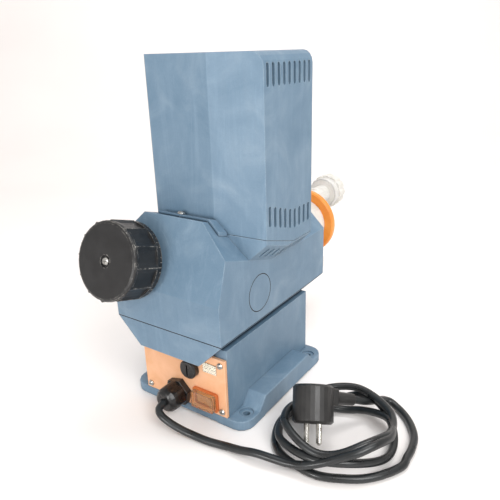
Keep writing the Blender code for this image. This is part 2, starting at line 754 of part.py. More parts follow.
def make_fuse(face):
    profile = (
        (0.0, 0.0),
        (FUSE_BODY_R, 0.0),
        (FUSE_BODY_R, -FUSE_BODY_LENGTH),
        (0.0, -FUSE_BODY_LENGTH),
    )
    spot = (FUSE_X, face - GAP, FUSE_Z)
    finish(turned("fuse_holder", profile, spot, (0, -1, 0), 24), "black_plastic", 30)
    cap = turned(
        "fuse_cap",
        (
            (0.0, 6.0 * MM),
            (FUSE_CAP_R - 1.2 * MM, 6.0 * MM),
            (FUSE_CAP_R, 4.8 * MM),
            (FUSE_CAP_R, 0.6 * MM),
            (0.0, 0.6 * MM),
        ),
        (FUSE_X, face, FUSE_Z),
        (0, -1, 0),
        28,
    )
    low = (FUSE_X - 0.9 * MM, face - 8 * MM, FUSE_Z - FUSE_CAP_R * 0.6)
    cut(cap, box("slot", low, (FUSE_X + 0.9 * MM, face - 4.2 * MM, FUSE_Z + FUSE_CAP_R * 0.6)))
    finish(origin_at(cap, (FUSE_X, face, FUSE_Z)), "black_plastic", 30)


def make_switch(face, body_x, body_z):
    front = face - GAP
    outer = rounded((-SWITCH_HALF_X, -SWITCH_HALF_Z), (SWITCH_HALF_X, SWITCH_HALF_Z), 2 * MM)
    outer = [(SWITCH_X + x, SWITCH_Z + z) for x, z in outer]
    frame = prism("switch_frame", outer, "Y", front - 2.2 * MM, front)
    low = (SWITCH_X - body_x, front - MM, SWITCH_Z - body_z)
    high = (SWITCH_X + body_x, face + 20 * MM, SWITCH_Z + body_z)
    join(frame, box("switch_body", low, high))
    room_x, room_z = ROCKER_HALF_X + 0.9 * MM, ROCKER_HALF_Z + 0.6 * MM
    low = (SWITCH_X - room_x, front - 5 * MM, SWITCH_Z - room_z)
    cut(frame, box("rocker_room", low, (SWITCH_X + room_x, face + 9 * MM, SWITCH_Z + room_z)))
    finish(frame, "panel_orange")

    pivot = Vector((SWITCH_X, face + 2 * MM, SWITCH_Z))
    half = ROCKER_HALF_X
    outline = [
        (-half, 3.0 * MM),
        (-half, -3.6 * MM),
        (0.0, -2.6 * MM),
        (half, -3.6 * MM),
        (half, 3.0 * MM),
        (0.0, 5.0 * MM),
    ]
    rocker = prism("switch_rocker", outline, "Z", -ROCKER_HALF_Z, ROCKER_HALF_Z)
    rocker.data.transform(Matrix.Rotation(-SWITCH_TILT, 4, "Z"))
    rocker.location = pivot
    finish(rocker, "amber")

    shell_x, shell_z = SWITCH_HALF_X - 1.4 * MM, SWITCH_HALF_Z - 1.4 * MM
    outer = rounded((-shell_x, -shell_z), (shell_x, shell_z), 1.6 * MM)
    inner = rounded((-shell_x + MM, -shell_z + MM), (shell_x - MM, shell_z - MM), 0.9 * MM)
    near, rim = front - 6.5 * MM, front - 2.2 * MM - GAP
    cover = prism("switch_cover", [(SWITCH_X + x, SWITCH_Z + z) for x, z in outer], "Y", near, rim)
    room = prism("room", [(SWITCH_X + x, SWITCH_Z + z) for x, z in inner], "Y", near + MM, rim + MM)
    finish(cut(cover, room), "amber")


def make_gland(face):
    spot = (GLAND_X, face - GAP, GLAND_Z)
    bore = LEAD_R + GAP
    hexagon = [(GLAND_X + x, GLAND_Z + z) for x, z in polygon(GLAND_HEX_R, 6, math.radians(15))]
    body = prism("gland_body", hexagon, "Y", face - GAP - 5.5 * MM, face - GAP)
    profile = ((0.0, MM), (GLAND_BARREL_R, MM), (GLAND_BARREL_R, -9 * MM), (0.0, -9 * MM))
    join(body, turned("barrel", profile, spot, (0, -1, 0), 24))
    cut(body, cylinder("bore", bore, (GLAND_X, face - 20 * MM, GLAND_Z), (0, 1, 0), 60 * MM, 16))
    finish(body, "black_plastic")

    nut_profile = (
        (bore, 22.0 * MM),
        (7.5 * MM, 22.0 * MM),
        (9.6 * MM, 20.6 * MM),
        (11.2 * MM, 17.8 * MM),
        (11.9 * MM, 14.0 * MM),
        (11.9 * MM, 5.8 * MM),
        (bore, 5.8 * MM),
    )
    nut = turned("gland_nut", nut_profile, spot, (0, -1, 0), 24, ring=True)
    hexagon = [(GLAND_X + x, GLAND_Z + z) for x, z in polygon(GLAND_HEX_R - 0.6 * MM, 6, math.radians(40))]
    combine(nut, prism("flats", hexagon, "Y", face - 30 * MM, face), "INTERSECT")
    finish(nut, "black_plastic")


# ---------------------------------------------------------------- motor and drive


def make_motor():
    top = MOTOR_FLANGE_Z
    profile = (
        (SHAFT_R + 3 * MM, top),
        (MOTOR_R - 7 * MM, top),
        (MOTOR_R - 7 * MM, top - 3.6 * MM),
        (21.7 * MM, top - 3.6 * MM),
        (21.7 * MM, ROOF_Z - 8 * MM),
        (SHAFT_R + 3 * MM, ROOF_Z - 8 * MM),
    )
    finish(turned("motor_mount", profile, steps=28, ring=True), "aluminium", 30)
    bearing_r = 11 * MM
    low, high = STATOR_Z
    bottom = top + GAP
    profile = (
        (MOTOR_R - 2.5 * MM, low - GAP),
        (MOTOR_R, low - GAP),
        (MOTOR_R, bottom),
        (bearing_r + GAP, bottom),
        (bearing_r + GAP, bottom + 7 * MM),
        (bearing_r + 4 * MM, bottom + 7 * MM),
        (bearing_r + 4 * MM, bottom + 3 * MM),
        (MOTOR_R - 2.5 * MM, bottom + 3 * MM),
    )
    finish(turned("motor_shield_lower", profile, steps=28, ring=True), "aluminium", 30)
    roof = MOTOR_TOP
    profile = (
        (bearing_r + GAP, roof),
        (MOTOR_R, roof),
        (MOTOR_R, high + GAP),
        (MOTOR_R - 2.5 * MM, high + GAP),
        (MOTOR_R - 2.5 * MM, roof - 3 * MM),
        (bearing_r + 4 * MM, roof - 3 * MM),
        (bearing_r + 4 * MM, roof - 7 * MM),
        (bearing_r + GAP, roof - 7 * MM),
    )
    finish(turned("motor_shield_upper", profile, steps=28, ring=True), "aluminium", 30)
    stator_r = ROTOR_R + 0.6 * MM
    coil_in, coil_out, coil_up = stator_r + 1.5 * MM, MOTOR_R - 4 * MM, 7 * MM
    profile = (
        (coil_in, high + coil_up),
        (coil_out, high + coil_up),
        (coil_out, high),
        (MOTOR_R, high),
        (MOTOR_R, low),
        (coil_out, low),
        (coil_out, low - coil_up),
        (coil_in, low - coil_up),
        (coil_in, low),
        (stator_r, low),
        (stator_r, high),
        (coil_in, high),
    )
    finish(turned("motor_stator", profile, steps=28, ring=True), "copper", 30)
    rotor_low, rotor_high = low + 2 * MM, high - 2 * MM
    bore = SHAFT_R + GAP
    profile = ((bore, rotor_high), (ROTOR_R, rotor_high), (ROTOR_R, rotor_low), (bore, rotor_low))
    finish(turned("motor_rotor", profile, steps=28, ring=True), "dark_steel", 30)
    for name, base in (("bearing_lower", bottom), ("bearing_upper", roof - 7 * MM)):
        profile = ((bore, base + 7 * MM), (bearing_r, base + 7 * MM), (bearing_r, base), (bore, base))
        finish(turned(name, profile, steps=16, ring=True), "steel", 30)
    finish(worm_shaft(), "steel", 30)
    finish(fan(), "black_plastic")


def worm_shaft():
    """The motor shaft with the worm cut on its lower end: a grid of rings whose radius follows the helix."""
    steps, rows_per_turn = 14, 5
    low, high = WORM_Z
    rows = round((high - low) / WORM_PITCH * rows_per_turn)
    shape = bmesh.new()
    bmesh.ops.create_cone(
        shape, cap_ends=True, segments=steps, radius1=WORM_CORE_R, radius2=WORM_CORE_R, depth=high - low
    )
    for i in range(1, rows):
        z = (low - high) / 2 + (high - low) * i / rows
        parts = list(shape.verts) + list(shape.edges) + list(shape.faces)
        bmesh.ops.bisect_plane(shape, geom=parts, dist=1e-7, plane_co=(0, 0, z), plane_no=(0, 0, 1))
    for vert in shape.verts:
        depth = min(1.0, ((high - low) / 2 - abs(vert.co.z)) / WORM_PITCH)
        turn = math.atan2(vert.co.y, vert.co.x) / (2 * math.pi)
        phase = (vert.co.z / WORM_PITCH - turn) % 1.0
        crest = max(0.0, 1.0 - abs(phase - 0.5) * 3.2)
        factor = (WORM_CORE_R + (WORM_TIP_R - WORM_CORE_R) * crest * depth) / WORM_CORE_R
        vert.co.x *= factor
        vert.co.y *= factor
    mesh = bpy.data.meshes.new("motor_shaft")
    shape.to_mesh(mesh)
    shape.free()
    shaft = solid("motor_shaft", mesh, Matrix.Translation((0, 0, (low + high) / 2)))
    length = FAN_Z[1] + MM - high
    return join(shaft, cylinder("stem", SHAFT_R, (0, 0, high - 0.5 * MM), (0, 0, 1), length, 20))


def fan():
    low, high = FAN_Z
    bore = SHAFT_R + GAP
    profile = (
        (bore, high),
        (9 * MM, high),
        (9 * MM, low + 1.5 * MM),
        (FAN_R, low + 1.5 * MM),
        (FAN_R, low),
        (bore, low),
    )
    wheel = turned("motor_fan", profile, steps=21, ring=True)
    for i in range(FAN_BLADES):
        blade = box("blade", (8.5 * MM, -0.7 * MM, low + MM), (FAN_R - MM, 0.7 * MM, high))
        blade.data.transform(Matrix.Rotation(2 * math.pi * i / FAN_BLADES, 4, "Z"))
        join(wheel, blade)
    return wheel


def make_drive():
    centre = Vector((0, WHEEL_Y, WHEEL_Z))
    outline = []
    for i in range(WHEEL_TEETH):
        for offset, radius in WHEEL_TOOTH:
            angle = 2 * math.pi * (i + offset) / WHEEL_TEETH
            outline.append((WHEEL_Y + radius * math.cos(angle), WHEEL_Z + radius * math.sin(angle)))
    wheel = prism("worm_wheel", outline, "X", -WHEEL_HALF_T, WHEEL_HALF_T)
    cut(wheel, cylinder("bore", SHAFT_R + GAP, centre - Vector((20 * MM, 0, 0)), (1, 0, 0), 40 * MM, 20))
    finish(origin_at(wheel, centre), "bronze")

    half = BEARING_X[1] + 3 * MM
    shaft = cylinder("cam_shaft", SHAFT_R, centre - Vector((half, 0, 0)), (1, 0, 0), 2 * half, 20)
    thick = CAM_X[1] - CAM_X[0]
    for low in (CAM_X[0], -CAM_X[1]):
        spot = centre + Vector((low, -CAM_THROW, 0))
        join(shaft, cylinder("cam", CAM_R, spot, (1, 0, 0), thick, 24))
    finish(origin_at(shaft, centre), "steel", 30)

    floor = CHIN_Z + WALL + GAP
    for side, label in ((-1, "bearing_block_left"), (1, "bearing_block_right")):
        low_x, high_x = sorted((side * BEARING_X[0], side * BEARING_X[1]))
        low, high = (low_x, WHEEL_Y - 9.5 * MM, floor), (high_x, WHEEL_Y + 9.5 * MM, WHEEL_Z + 7 * MM)
        block = box(label, low, high)
        bore = cylinder("bore", SHAFT_R + GAP, (low_x - MM, WHEEL_Y, WHEEL_Z), (1, 0, 0), 12 * MM, 20)
        finish(cut(block, bore), "aluminium")
    make_rod()


def rod_back():
    """How far back the drawn-in rod reaches: clear of the cams by one stroke."""
    return WHEEL_Y + CAM_R + CAM_THROW + STROKE + 2 * GAP


def make_rod():
    """A fork whose arms pass the worm; the cams push its follower faces through a running gap of one stroke."""
    arm_back = rod_back()
    cross_near, cross_far = 15.0 * MM, 22.0 * MM
    low_z, high_z = ROD_Z - 9 * MM, ROD_Z + 4 * MM
    rod = box("push_rod", (-ARM_X[1], cross_near, low_z), (ARM_X[1], cross_far, high_z))
    for low_x in (ARM_X[0], -ARM_X[1]):
        high_x = low_x + ARM_X[1] - ARM_X[0]
        join(rod, box("arm", (low_x, arm_back, low_z), (high_x, cross_near + MM, high_z)))
    face = box("face", (-ARM_X[1] + 0.01 * MM, arm_back, low_z), (-CAM_X[0], arm_back + 3 * MM, high_z))
    join(rod, face)
    join(rod, box("face", (CAM_X[0], arm_back, low_z), (ARM_X[1] - 0.01 * MM, arm_back + 3 * MM, high_z)))
    finger_top = knob_foot().z - math.tan(LEAN) * (arm_back - knob_foot().y) + 6 * MM
    finger = (KNOB_X - SPINDLE_R - MM, arm_back - 0.02 * MM, high_z - 2 * MM)
    join(rod, box("finger", finger, (-ARM_X[0] - 0.02 * MM, arm_back + 4 * MM, finger_top)))
    tip = LANTERN_FAR + RING_T + GAP
    spot = Vector((0, cross_far - MM, ROD_Z))
    join(rod, cylinder("stem", ROD_R, spot, (0, 1, 0), tip - spot.y, 20))
    core = LANTERN_FAR - 3 * MM
    join(rod, cylinder("core", 14 * MM, Vector((0, core, ROD_Z)), (0, 1, 0), tip - core - 0.01 * MM, 24))
    finish(rod, "steel")

    coils, steps = 5, 10
    near, far = cross_far + GAP, GEAR_FAR - WALL - 3 * MM - STROKE
    wire = 1.1 * MM
    points = []
    for i in range(coils * steps + 1):
        angle = 2 * math.pi * i / steps
        y = near + wire + (far - near - 2 * wire) * i / (coils * steps)
        points.append((11.5 * MM * math.cos(angle), y, ROD_Z + 11.5 * MM * math.sin(angle)))
    finish(tube("return_spring", points, wire, 1), "steel")


def tube(name, points, radius, resolution):
    """A closed round tube along the points."""
    curve = bpy.data.curves.new(name, "CURVE")
    curve.dimensions = "3D"
    curve.bevel_depth = radius
    curve.bevel_resolution = resolution
    curve.use_fill_caps = True
    spline = curve.splines.new("POLY")
    spline.points.add(len(points) - 1)
    for target, point in zip(spline.points, points):
        target.co = (*point, 1.0)
    obj = bpy.data.objects.new(name, curve)
    PUMP.objects.link(obj)
    return obj


# ---------------------------------------------------------------- stroke setting


def knob_foot():
    """Where the knob's axis meets the leaning face."""
    return LEAN_TOP - LEAN_UP * KNOB_DOWN + Vector((KNOB_X, 0, 0))


def make_knob():
    foot = knob_foot()
    outline = []
    for i in range(KNOB_LOBES):
        for share, depth in ((0.0, 0.0), (0.22, 0.8), (0.5, 1.0), (0.78, 0.8)):
            angle, radius = 2 * math.pi * (i + share) / KNOB_LOBES, KNOB_R - KNOB_GROOVE * depth
            outline.append((radius * math.cos(angle), radius * math.sin(angle)))
    knob = solid("stroke_knob", flat(outline, KNOB_RIM - MM, KNOB_T - 1.6 * MM))
    front_r = KNOB_R - 0.9 * MM
    profile = (
        (0.0, KNOB_T),
        (front_r - 2.2 * MM, KNOB_T),
        (front_r - 0.6 * MM, KNOB_T - 0.8 * MM),
        (front_r, KNOB_T - 2.2 * MM),
        (front_r, KNOB_T - 4.0 * MM),
        (front_r - 2.4 * MM, KNOB_T - 6.0 * MM),
        (0.0, KNOB_T - 6.0 * MM),
    )
    join(knob, turned("front", profile, steps=40))
    join(knob, cylinder("scale_rim", KNOB_R - 0.7 * MM, (0, 0, 0), (0, 0, 1), KNOB_RIM, 44))
    cut(knob, cylinder("seat", 5 * MM, (0, 0, KNOB_T - KNOB_SCREW_SEAT), (0, 0, 1), 9 * MM, 20))
    bore, cup_r = SPINDLE_R + GAP, KNOB_R - KNOB_GROOVE - 2.6 * MM
    hub_r, room_top = 12.5 * MM, KNOB_T - 8 * MM
    profile = ((hub_r, room_top), (cup_r, room_top), (cup_r, -MM), (hub_r, -MM))
    cut(knob, turned("room", profile, steps=28, ring=True))
    cut(knob, cylinder("hub_bore", 9.6 * MM, (0, 0, -MM), (0, 0, 1), 16.5 * MM, 24))
    cut(knob, cylinder("bore", bore, (0, 0, 0), (0, 0, 1), KNOB_T - 8 * MM, 16))
    frame = along(Vector((0, 0, 0)), LEAN_NORMAL)
    knob.data.transform(frame)
    knob.location = foot + LEAN_NORMAL * KNOB_STAND_OFF
    finish(knob, "knob_black", 35)

    seat = foot + LEAN_NORMAL * (KNOB_STAND_OFF + KNOB_T - KNOB_SCREW_SEAT + GAP)
    screw = pan_screw("knob_screw", Vector((0, 0, 0)), LEAN_NORMAL, 3.2 * MM, 0.01 * MM)
    screw.location = seat
    finish(screw, "steel", 40)

    profile = (
        (SPINDLE_R + GAP, 18 * MM),
        (8.8 * MM, 18 * MM),
        (8.8 * MM, 4.0 * MM),
        (11.8 * MM, 4.0 * MM),
        (11.8 * MM, GAP),
        (8.7 * MM, GAP),
        (8.7 * MM, -WALL - MM),
        (SPINDLE_R + GAP, -WALL - MM),
    )
    finish(turned("knob_bush", profile, foot, LEAN_NORMAL, 28, ring=True), "aluminium", 30)

    out = KNOB_STAND_OFF + room_top - STROKE - GAP
    reach = (rod_back() - 2 * GAP - foot.y) / math.cos(LEAN) - SPINDLE_R * math.tan(LEAN)
    tip = foot - LEAN_NORMAL * reach
    spindle = cylinder("stop_spindle", SPINDLE_R, tip, LEAN_NORMAL, reach + out, 16)
    finish(origin_at(spindle, foot), "steel", 30)


# ---------------------------------------------------------------- liquid end


def make_liquid_end():
    end = (0, 1, 0)
    bore = 16 * MM
    length = LANTERN_FAR - GEAR_FAR
    profile = (
        (bore, length),
        (LANTERN_R, length),
        (LANTERN_R, 5 * MM),
        (LANTERN_FLANGE_R, 4 * MM),
        (LANTERN_FLANGE_R, GAP),
        (19.6 * MM, GAP),
        (19.6 * MM, -WALL - 2 * MM),
        (bore, -WALL - 2 * MM),
    )
    lantern = turned("lantern", profile, (0, GEAR_FAR, ROD_Z), end, 32, ring=True)
    finish(lantern, "white_plastic", 30)
    profile = (
        (19 * MM, RING_T),
        (RING_R - 1.5 * MM, RING_T),
        (RING_R, RING_T - 1.5 * MM),
        (RING_R, 1.5 * MM),
        (RING_R - 1.5 * MM, GAP),
        (19 * MM, GAP),
    )
    ring = turned("clamp_ring", profile, (0, LANTERN_FAR, ROD_Z), end, 40, ring=True)
    disc_y = LANTERN_FAR + RING_T + GAP
    disc = turned(
        "diaphragm",
        (
            (ROD_R + 12 * MM, 1.6 * MM),
            (HEAD_R - 2 * MM, 1.6 * MM),
            (HEAD_R - 2 * MM, 0.0),
            (ROD_R + 12 * MM, 0.0),
        ),
        (0, disc_y, ROD_Z),
        end,
        32,
        ring=True,
    )
    head_y = disc_y + 1.6 * MM + GAP
    head = pump_head(head_y)
    for sx in (-1, 1):
        for sz in (-1, 1):
            spot = (sx * HEAD_SCREW_AT, 0, ROD_Z + sz * HEAD_SCREW_AT)
            hole = Vector((spot[0], LANTERN_FAR - MM, spot[2]))
            radius = 2.5 * MM
            for piece in (ring, disc, head):
                cut(piece, cylinder("hole", radius + GAP, hole, end, HEAD_T + 40 * MM, 12))
            place = Vector((spot[0], head_y + HEAD_FLANGE_T + GAP, spot[2]))
            name = f"head_screw_{'left' if sx < 0 else 'right'}_{'low' if sz < 0 else 'high'}"
            bolt = prism(name, [(place.x + x, place.z + z) for x, z in polygon(4.2 * MM, 6)], "Y", place.y, place.y + 3.5 * MM)
            length = place.y - (LANTERN_FAR + 2 * MM)
            join(bolt, cylinder("shank", radius, place + Vector((0, MM, 0)), (0, -1, 0), length, 12))
            finish(bolt, "steel")
    finish(ring, "ring_orange", 30)
    finish(disc, "membrane", 30)
    finish(head, "white_plastic", 30)
    low_seat, high_seat = valve_seats()
    make_ball("discharge", valve_y(head_y), high_seat)
    make_ball("suction", valve_y(head_y), low_seat)
    make_port("discharge", discharge_point(head_y), end, NUT_R)
    below = Vector((0, valve_y(head_y), ROD_Z + CHEST_Z[0] - GAP))
    make_port("suction", below, (0, 0, -1), SUCTION_NUT_R)


def pump_head(near):
    """A round head with an upright valve chest: a chamber, two valve pockets, a front and a bottom port."""
    end, mid = (0, 1, 0), valve_y(near)
    profile = (
        (0.0, HEAD_T),
        (HEAD_CORE_R - 2 * MM, HEAD_T),
        (HEAD_CORE_R, HEAD_T - 2 * MM),
        (HEAD_CORE_R, HEAD_FLANGE_T),
        (HEAD_R, HEAD_FLANGE_T),
        (HEAD_R, 0.0),
        (0.0, 0.0),
    )
    head = turned("pump_head", profile, (0, near, ROD_Z), end, 36)
    low = (-CHEST_HALF_X, mid - 10 * MM, ROD_Z + CHEST_Z[0])
    chest = box("chest", low, (CHEST_HALF_X, mid + 9 * MM, ROD_Z + CHEST_Z[1]))
    join(head, bevel(chest, 2 * MM, 1))
    low_seat, high_seat = valve_seats()
    out = discharge_point(near)
    join(head, cylinder("outlet", 10 * MM, (0, mid, out.z), end, out.y - GAP - mid, 24))
    cut(head, cylinder("chamber", 16 * MM, (0, near - MM, ROD_Z), end, 5 * MM, 28))
    for seat in (low_seat, high_seat):
        cut(head, cylinder("passage", 3 * MM, (0, mid, seat - 8 * MM), (0, 0, 1), 12 * MM, 14))
        cut(head, cylinder("pocket", BALL_R + MM, (0, mid, seat), (0, 0, 1), 13.5 * MM, 18))
    cut(head, cylinder("link", 2.5 * MM, (0, near, high_seat - 5 * MM), end, mid - near, 12))
    cut(head, cylinder("link", 2.5 * MM, (0, near, low_seat + 8 * MM), end, mid - near, 12))
    cut(head, cylinder("outlet", 4 * MM, (0, mid, out.z), end, HEAD_T, 14))
    bottom = ROD_Z + CHEST_Z[0] - MM
    return cut(head, cylinder("inlet", 4 * MM, (0, mid, bottom), (0, 0, 1), low_seat - 6 * MM - bottom, 14))


def valve_y(near):
    return near + HEAD_T / 2 + 2 * MM


def valve_seats():
    """Heights of the suction and the discharge seat."""
    return ROD_Z - 16 * MM, ROD_Z + PORT_OFFSET - 10.4 * MM


def discharge_point(near):
    return Vector((0, near + HEAD_T + 3 * MM + GAP, ROD_Z + PORT_OFFSET))


def make_port(side, point, direction, nut_r):
    """A hose connector with its union nut, standing off from point along direction."""
    bore, rim, tube_r = 3 * MM, nut_r - 3.6 * MM, 5.5 * MM
    length = 39 * MM
    profile = (
        (bore, length),
        (tube_r - MM, length),
        (tube_r, length - 4 * MM),
        (tube_r, 21 * MM),
        (rim, 14 * MM),
        (rim, 6 * MM),
        (10 * MM, 5 * MM),
        (10 * MM, 0.0),
        (bore, 0.0),
    )
    finish(turned(f"{side}_connector", profile, point, direction, 20, ring=True), "white_plastic", 30)

    outline = []
    for i in range(NUT_LOBES):
        for share, depth in ((0.0, 0.0), (0.3, 0.3), (0.5, 1.0), (0.7, 0.3)):
            angle, radius = 2 * math.pi * (i + share) / NUT_LOBES, nut_r - 1.6 * MM * depth
            outline.append((radius * math.cos(angle), radius * math.sin(angle)))
    nut = solid(f"{side}_union_nut", flat(outline, 14.5 * MM, 27 * MM))
    collar_r = nut_r - 2.2 * MM
    profile = ((0.0, 16 * MM), (collar_r, 16 * MM), (collar_r, 8 * MM), (collar_r - MM, 6.5 * MM), (0.0, 6.5 * MM))
    join(nut, turned("collar", profile, steps=32))
    room = turned(
        "room",
        (
            (0.0, 24 * MM),
            (tube_r + 2 * GAP, 24 * MM),
            (tube_r + 2 * GAP, 21.6 * MM),
            (rim + GAP, 14.4 * MM),
            (rim + GAP, 0.0),
            (0.0, 0.0),
        ),
        steps=28,
    )
    cut(nut, room)
    cut(nut, cylinder("mouth", 7.2 * MM, (0, 0, 21 * MM), (0, 0, 1), 12 * MM, 20))
    nut.data.transform(along(point, direction))
    finish(nut, "white_plastic")


def make_ball(side, y, seat):
    shape = bmesh.new()
    bmesh.ops.create_uvsphere(shape, u_segments=14, v_segments=8, radius=BALL_R)
    mesh = bpy.data.meshes.new(f"{side}_ball")
    shape.to_mesh(mesh)
    shape.free()
    ball = solid(f"{side}_ball", mesh)
    ball.location = (0, y, seat + BALL_R + GAP)
    finish(ball, "ceramic", 60)


# ---------------------------------------------------------------- mains lead


def smooth_route(nodes, spacing):
    """Points on a smooth curve through the nodes, about spacing apart."""
    ends = [nodes[0] * 2 - nodes[1]] + nodes + [nodes[-1] * 2 - nodes[-2]]
    result = []
    for i in range(1, len(ends) - 2):
        before, start, stop, after = ends[i - 1 : i + 3]
        count = max(1, round((stop - start).length / spacing))
        for j in range(count):
            t = j / count
            result.append(
                0.5
                * (
                    2 * start
                    + (stop - before) * t
                    + (2 * before - 5 * start + 4 * stop - after) * t * t
                    + (3 * start - before - 3 * stop + after) * t**3
                )
            )
    return result + [nodes[-1]]


def make_lead():
    spacing = 4.4 * LEAD_R
    lead = [Vector(point) * MM for point in LEAD_ROUTE]
    finish(tube("cord_lead", smooth_route(lead, spacing), LEAD_R, 2), "lead_grey")
    frame = plug_frame()
    ends = [frame @ Vector((0, RELIEF_END + reach, RELIEF_Z)) for reach in (TAIL_RISE, GAP)]
    tail = [Vector(point) * MM for point in TAIL_ROUTE] + ends
    finish(tube("cord_tail", smooth_route(tail, spacing), LEAD_R, 2), "lead_grey")
    inner, outer = COIL_R
    low, high = COIL_Z
    edge = 4 * MM
    profile = (
        (inner + edge, high),
        (outer - edge, high),
        (outer, high - edge),
        (outer, low),
        (inner, low),
        (inner, high - edge),
    )
    finish(turned("cord_coil", profile, (*COIL_CENTRE, 0), steps=36, ring=True), "lead_grey", 30)


def plug_frame():
    """The plug's own frame at the middle of its face: X along the pin pair, Y to the lead, Z away from the pins."""
    up = -PLUG_PIN_DIR
    pair = (PLUG_PAIR_DIR - up * PLUG_PAIR_DIR.dot(up)).normalized()
    lead = up.cross(pair)
    middle = PLUG_TIP + pair * (PIN_SPACING / 2) + up * PIN_LENGTH
    frame = Matrix((pair, lead, up)).transposed().to_4x4()
    return Matrix.Translation(middle) @ frame


def make_plug():
    outline = polygon(PLUG_R, 28)
    body = bevel(solid("plug_body", flat(outline, -PLUG_RIM, PLUG_HEIGHT)), 1.8 * MM, 1, 40)
    cut(body, cylinder("face", PLUG_R - 2.2 * MM, (0, 0, -2 * PLUG_RIM), (0, 0, 1), 2 * PLUG_RIM, 24))
    half = LEAD_R + 3.4 * MM
    ridge = box("ridge", (-half, -4 * MM, RELIEF_Z - half), (half, PLUG_R + 5 * MM, PLUG_HEIGHT - 1.2 * MM))
    join(body, bevel(ridge, 1.5 * MM, 1, 40))
    start = Vector((0, PLUG_R, RELIEF_Z))
    length = RELIEF_END - PLUG_R
    profile = (
        (0.0, length),
        (LEAD_R + 1.7 * MM, length),
        (LEAD_R + 2.6 * MM, 0.0),
        (0.0, 0.0),
    )
    join(body, turned("relief", profile, start, (0, 1, 0), 16))
    frame = plug_frame()
    body.data.transform(frame)
    finish(body, "black_plastic")
    for side, label in ((-1, "plug_pin_1"), (1, "plug_pin_2")):
        spot = Vector((side * PIN_SPACING / 2, 0, -GAP))
        profile = (
            (0.0, 0.0),
            (PIN_R, 0.0),
            (PIN_R, -PIN_LENGTH + 2 * MM),
            (PIN_R * 0.5, -PIN_LENGTH + GAP),
            (0.0, -PIN_LENGTH + GAP),
        )
        pin = turned(label, profile, spot, (0, 0, 1), 16)
        pin.data.transform(frame)
        finish(pin, "steel", 30)


def make_electrics():
    """The motor's capacitor, lying in the pedestal."""
    profile = (
        (0.0, 60 * MM),
        (14 * MM, 60 * MM),
        (15 * MM, 59 * MM),
        (15 * MM, MM),
        (14 * MM, 0.0),
        (0.0, 0.0),
    )
    finish(turned("motor_capacitor", profile, (-30 * MM, 30 * MM, 20 * MM), (1, 0, 0), 24), "aluminium", 30)


clear_scene()
PUMP = new_collection("metering_pump")
CUTTERS = new_collection("cutters")
make_base()
make_gear_cover()
make_hood()
make_panel()
make_motor()
make_drive()
make_knob()
make_liquid_end()
make_electrics()
make_lead()
make_plug()
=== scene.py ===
"""Looks of a diaphragm metering pump: moulded housing, worn knob, panel, white liquid end and mains lead."""

import json
import math

import bmesh
import bpy
import numpy as np
from mathutils import Matrix, Vector


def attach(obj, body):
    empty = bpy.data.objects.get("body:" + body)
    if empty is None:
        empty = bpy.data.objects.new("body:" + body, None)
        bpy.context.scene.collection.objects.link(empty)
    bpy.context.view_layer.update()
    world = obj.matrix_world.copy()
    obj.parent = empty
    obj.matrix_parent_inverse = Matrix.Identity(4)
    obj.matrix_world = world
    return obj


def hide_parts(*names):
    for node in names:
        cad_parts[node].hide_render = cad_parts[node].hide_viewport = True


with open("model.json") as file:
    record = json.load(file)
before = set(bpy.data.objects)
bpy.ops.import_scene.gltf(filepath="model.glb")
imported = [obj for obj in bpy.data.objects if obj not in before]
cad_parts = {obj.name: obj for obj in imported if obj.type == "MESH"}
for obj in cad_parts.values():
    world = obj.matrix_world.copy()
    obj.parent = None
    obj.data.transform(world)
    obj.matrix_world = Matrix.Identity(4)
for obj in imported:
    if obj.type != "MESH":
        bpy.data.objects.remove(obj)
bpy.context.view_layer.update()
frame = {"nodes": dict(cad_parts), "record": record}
NODES = frame["nodes"]
MM = 0.001
FOOT = Vector((-0.030, -0.074554, 0.141819))  # the knob's axis meets the leaning face here
KNOB_AXIS = Vector((0, -0.954761, 0.297375))
SEAM_Z = 88.25 * MM  # the cover stands on the base
SIDE_PLUG = Vector((0, -0.0252, 0.1128))
SIDE_PLUG_R = 16.05 * MM
PRINT_PITCH = 1.6 * MM


# ------------------------------------------------------------------ camera

camera = bpy.data.objects.new("camera", bpy.data.cameras.new("camera"))
bpy.context.scene.collection.objects.link(camera)
camera.data.sensor_width = 36.0
camera.data.lens = 38.43
camera.data.clip_start = 0.01
right = Vector((0.8288, 0.5588, -0.0288))
up = Vector((-0.1731, 0.3051, 0.9364))
camera.matrix_world = Matrix.Translation((0.2772, -0.359, 0.300)) @ Matrix(
    (right, up, right.cross(up))
).transposed().to_4x4()
bpy.context.scene.camera = camera


# ------------------------------------------------------------------ mains lead

LEAD_R = 3.2 * MM
STRAND_GAP = 6.7 * MM  # between the middles of two strands that touch, and a little more
LAID_BELOW = 15 * MM  # strands higher than this are on their way to the plug
ROUTE_SPACING = 2.5 * MM
TAIL_RISE = 16 * MM  # the last stretch runs straight into the plug
COIL_CENTRE = Vector((0.131, -0.0335, 0))
LEAD_ROUTE = (
    (-5.0, -82.0, 19.6),
    (-5.0, -88.5, 19.6),
    (-4.0, -94.5, 18.2),
    (1.0, -97.5, 15.6),
    (9.0, -97.0, 11.6),
    (18.0, -95.0, 7.6),
    (29.0, -92.5, 4.6),
    (45.0, -90.5, 3.4),
    (61.0, -88.0, 4.0),
    (76.0, -87.2, 5.9),
    (91.0, -86.0, 8.8),
)
TAIL_ROUTE = (
    (185.8, -36.0, 3.4),
    (186.5, -24.0, 3.4),
    (186.3, -11.5, 3.4),
    (183.0, 4.0, 3.4),
    (173.0, 20.0, 3.4),
    (160.8, 30.2, 3.9),
    (149.0, 31.0, 8.0),
)
PLUG_EXIT = Vector((0.1322, -0.0038, 0.0234))
PLUG_LEAD_DIR = Vector((0.582, 0.743, -0.331))
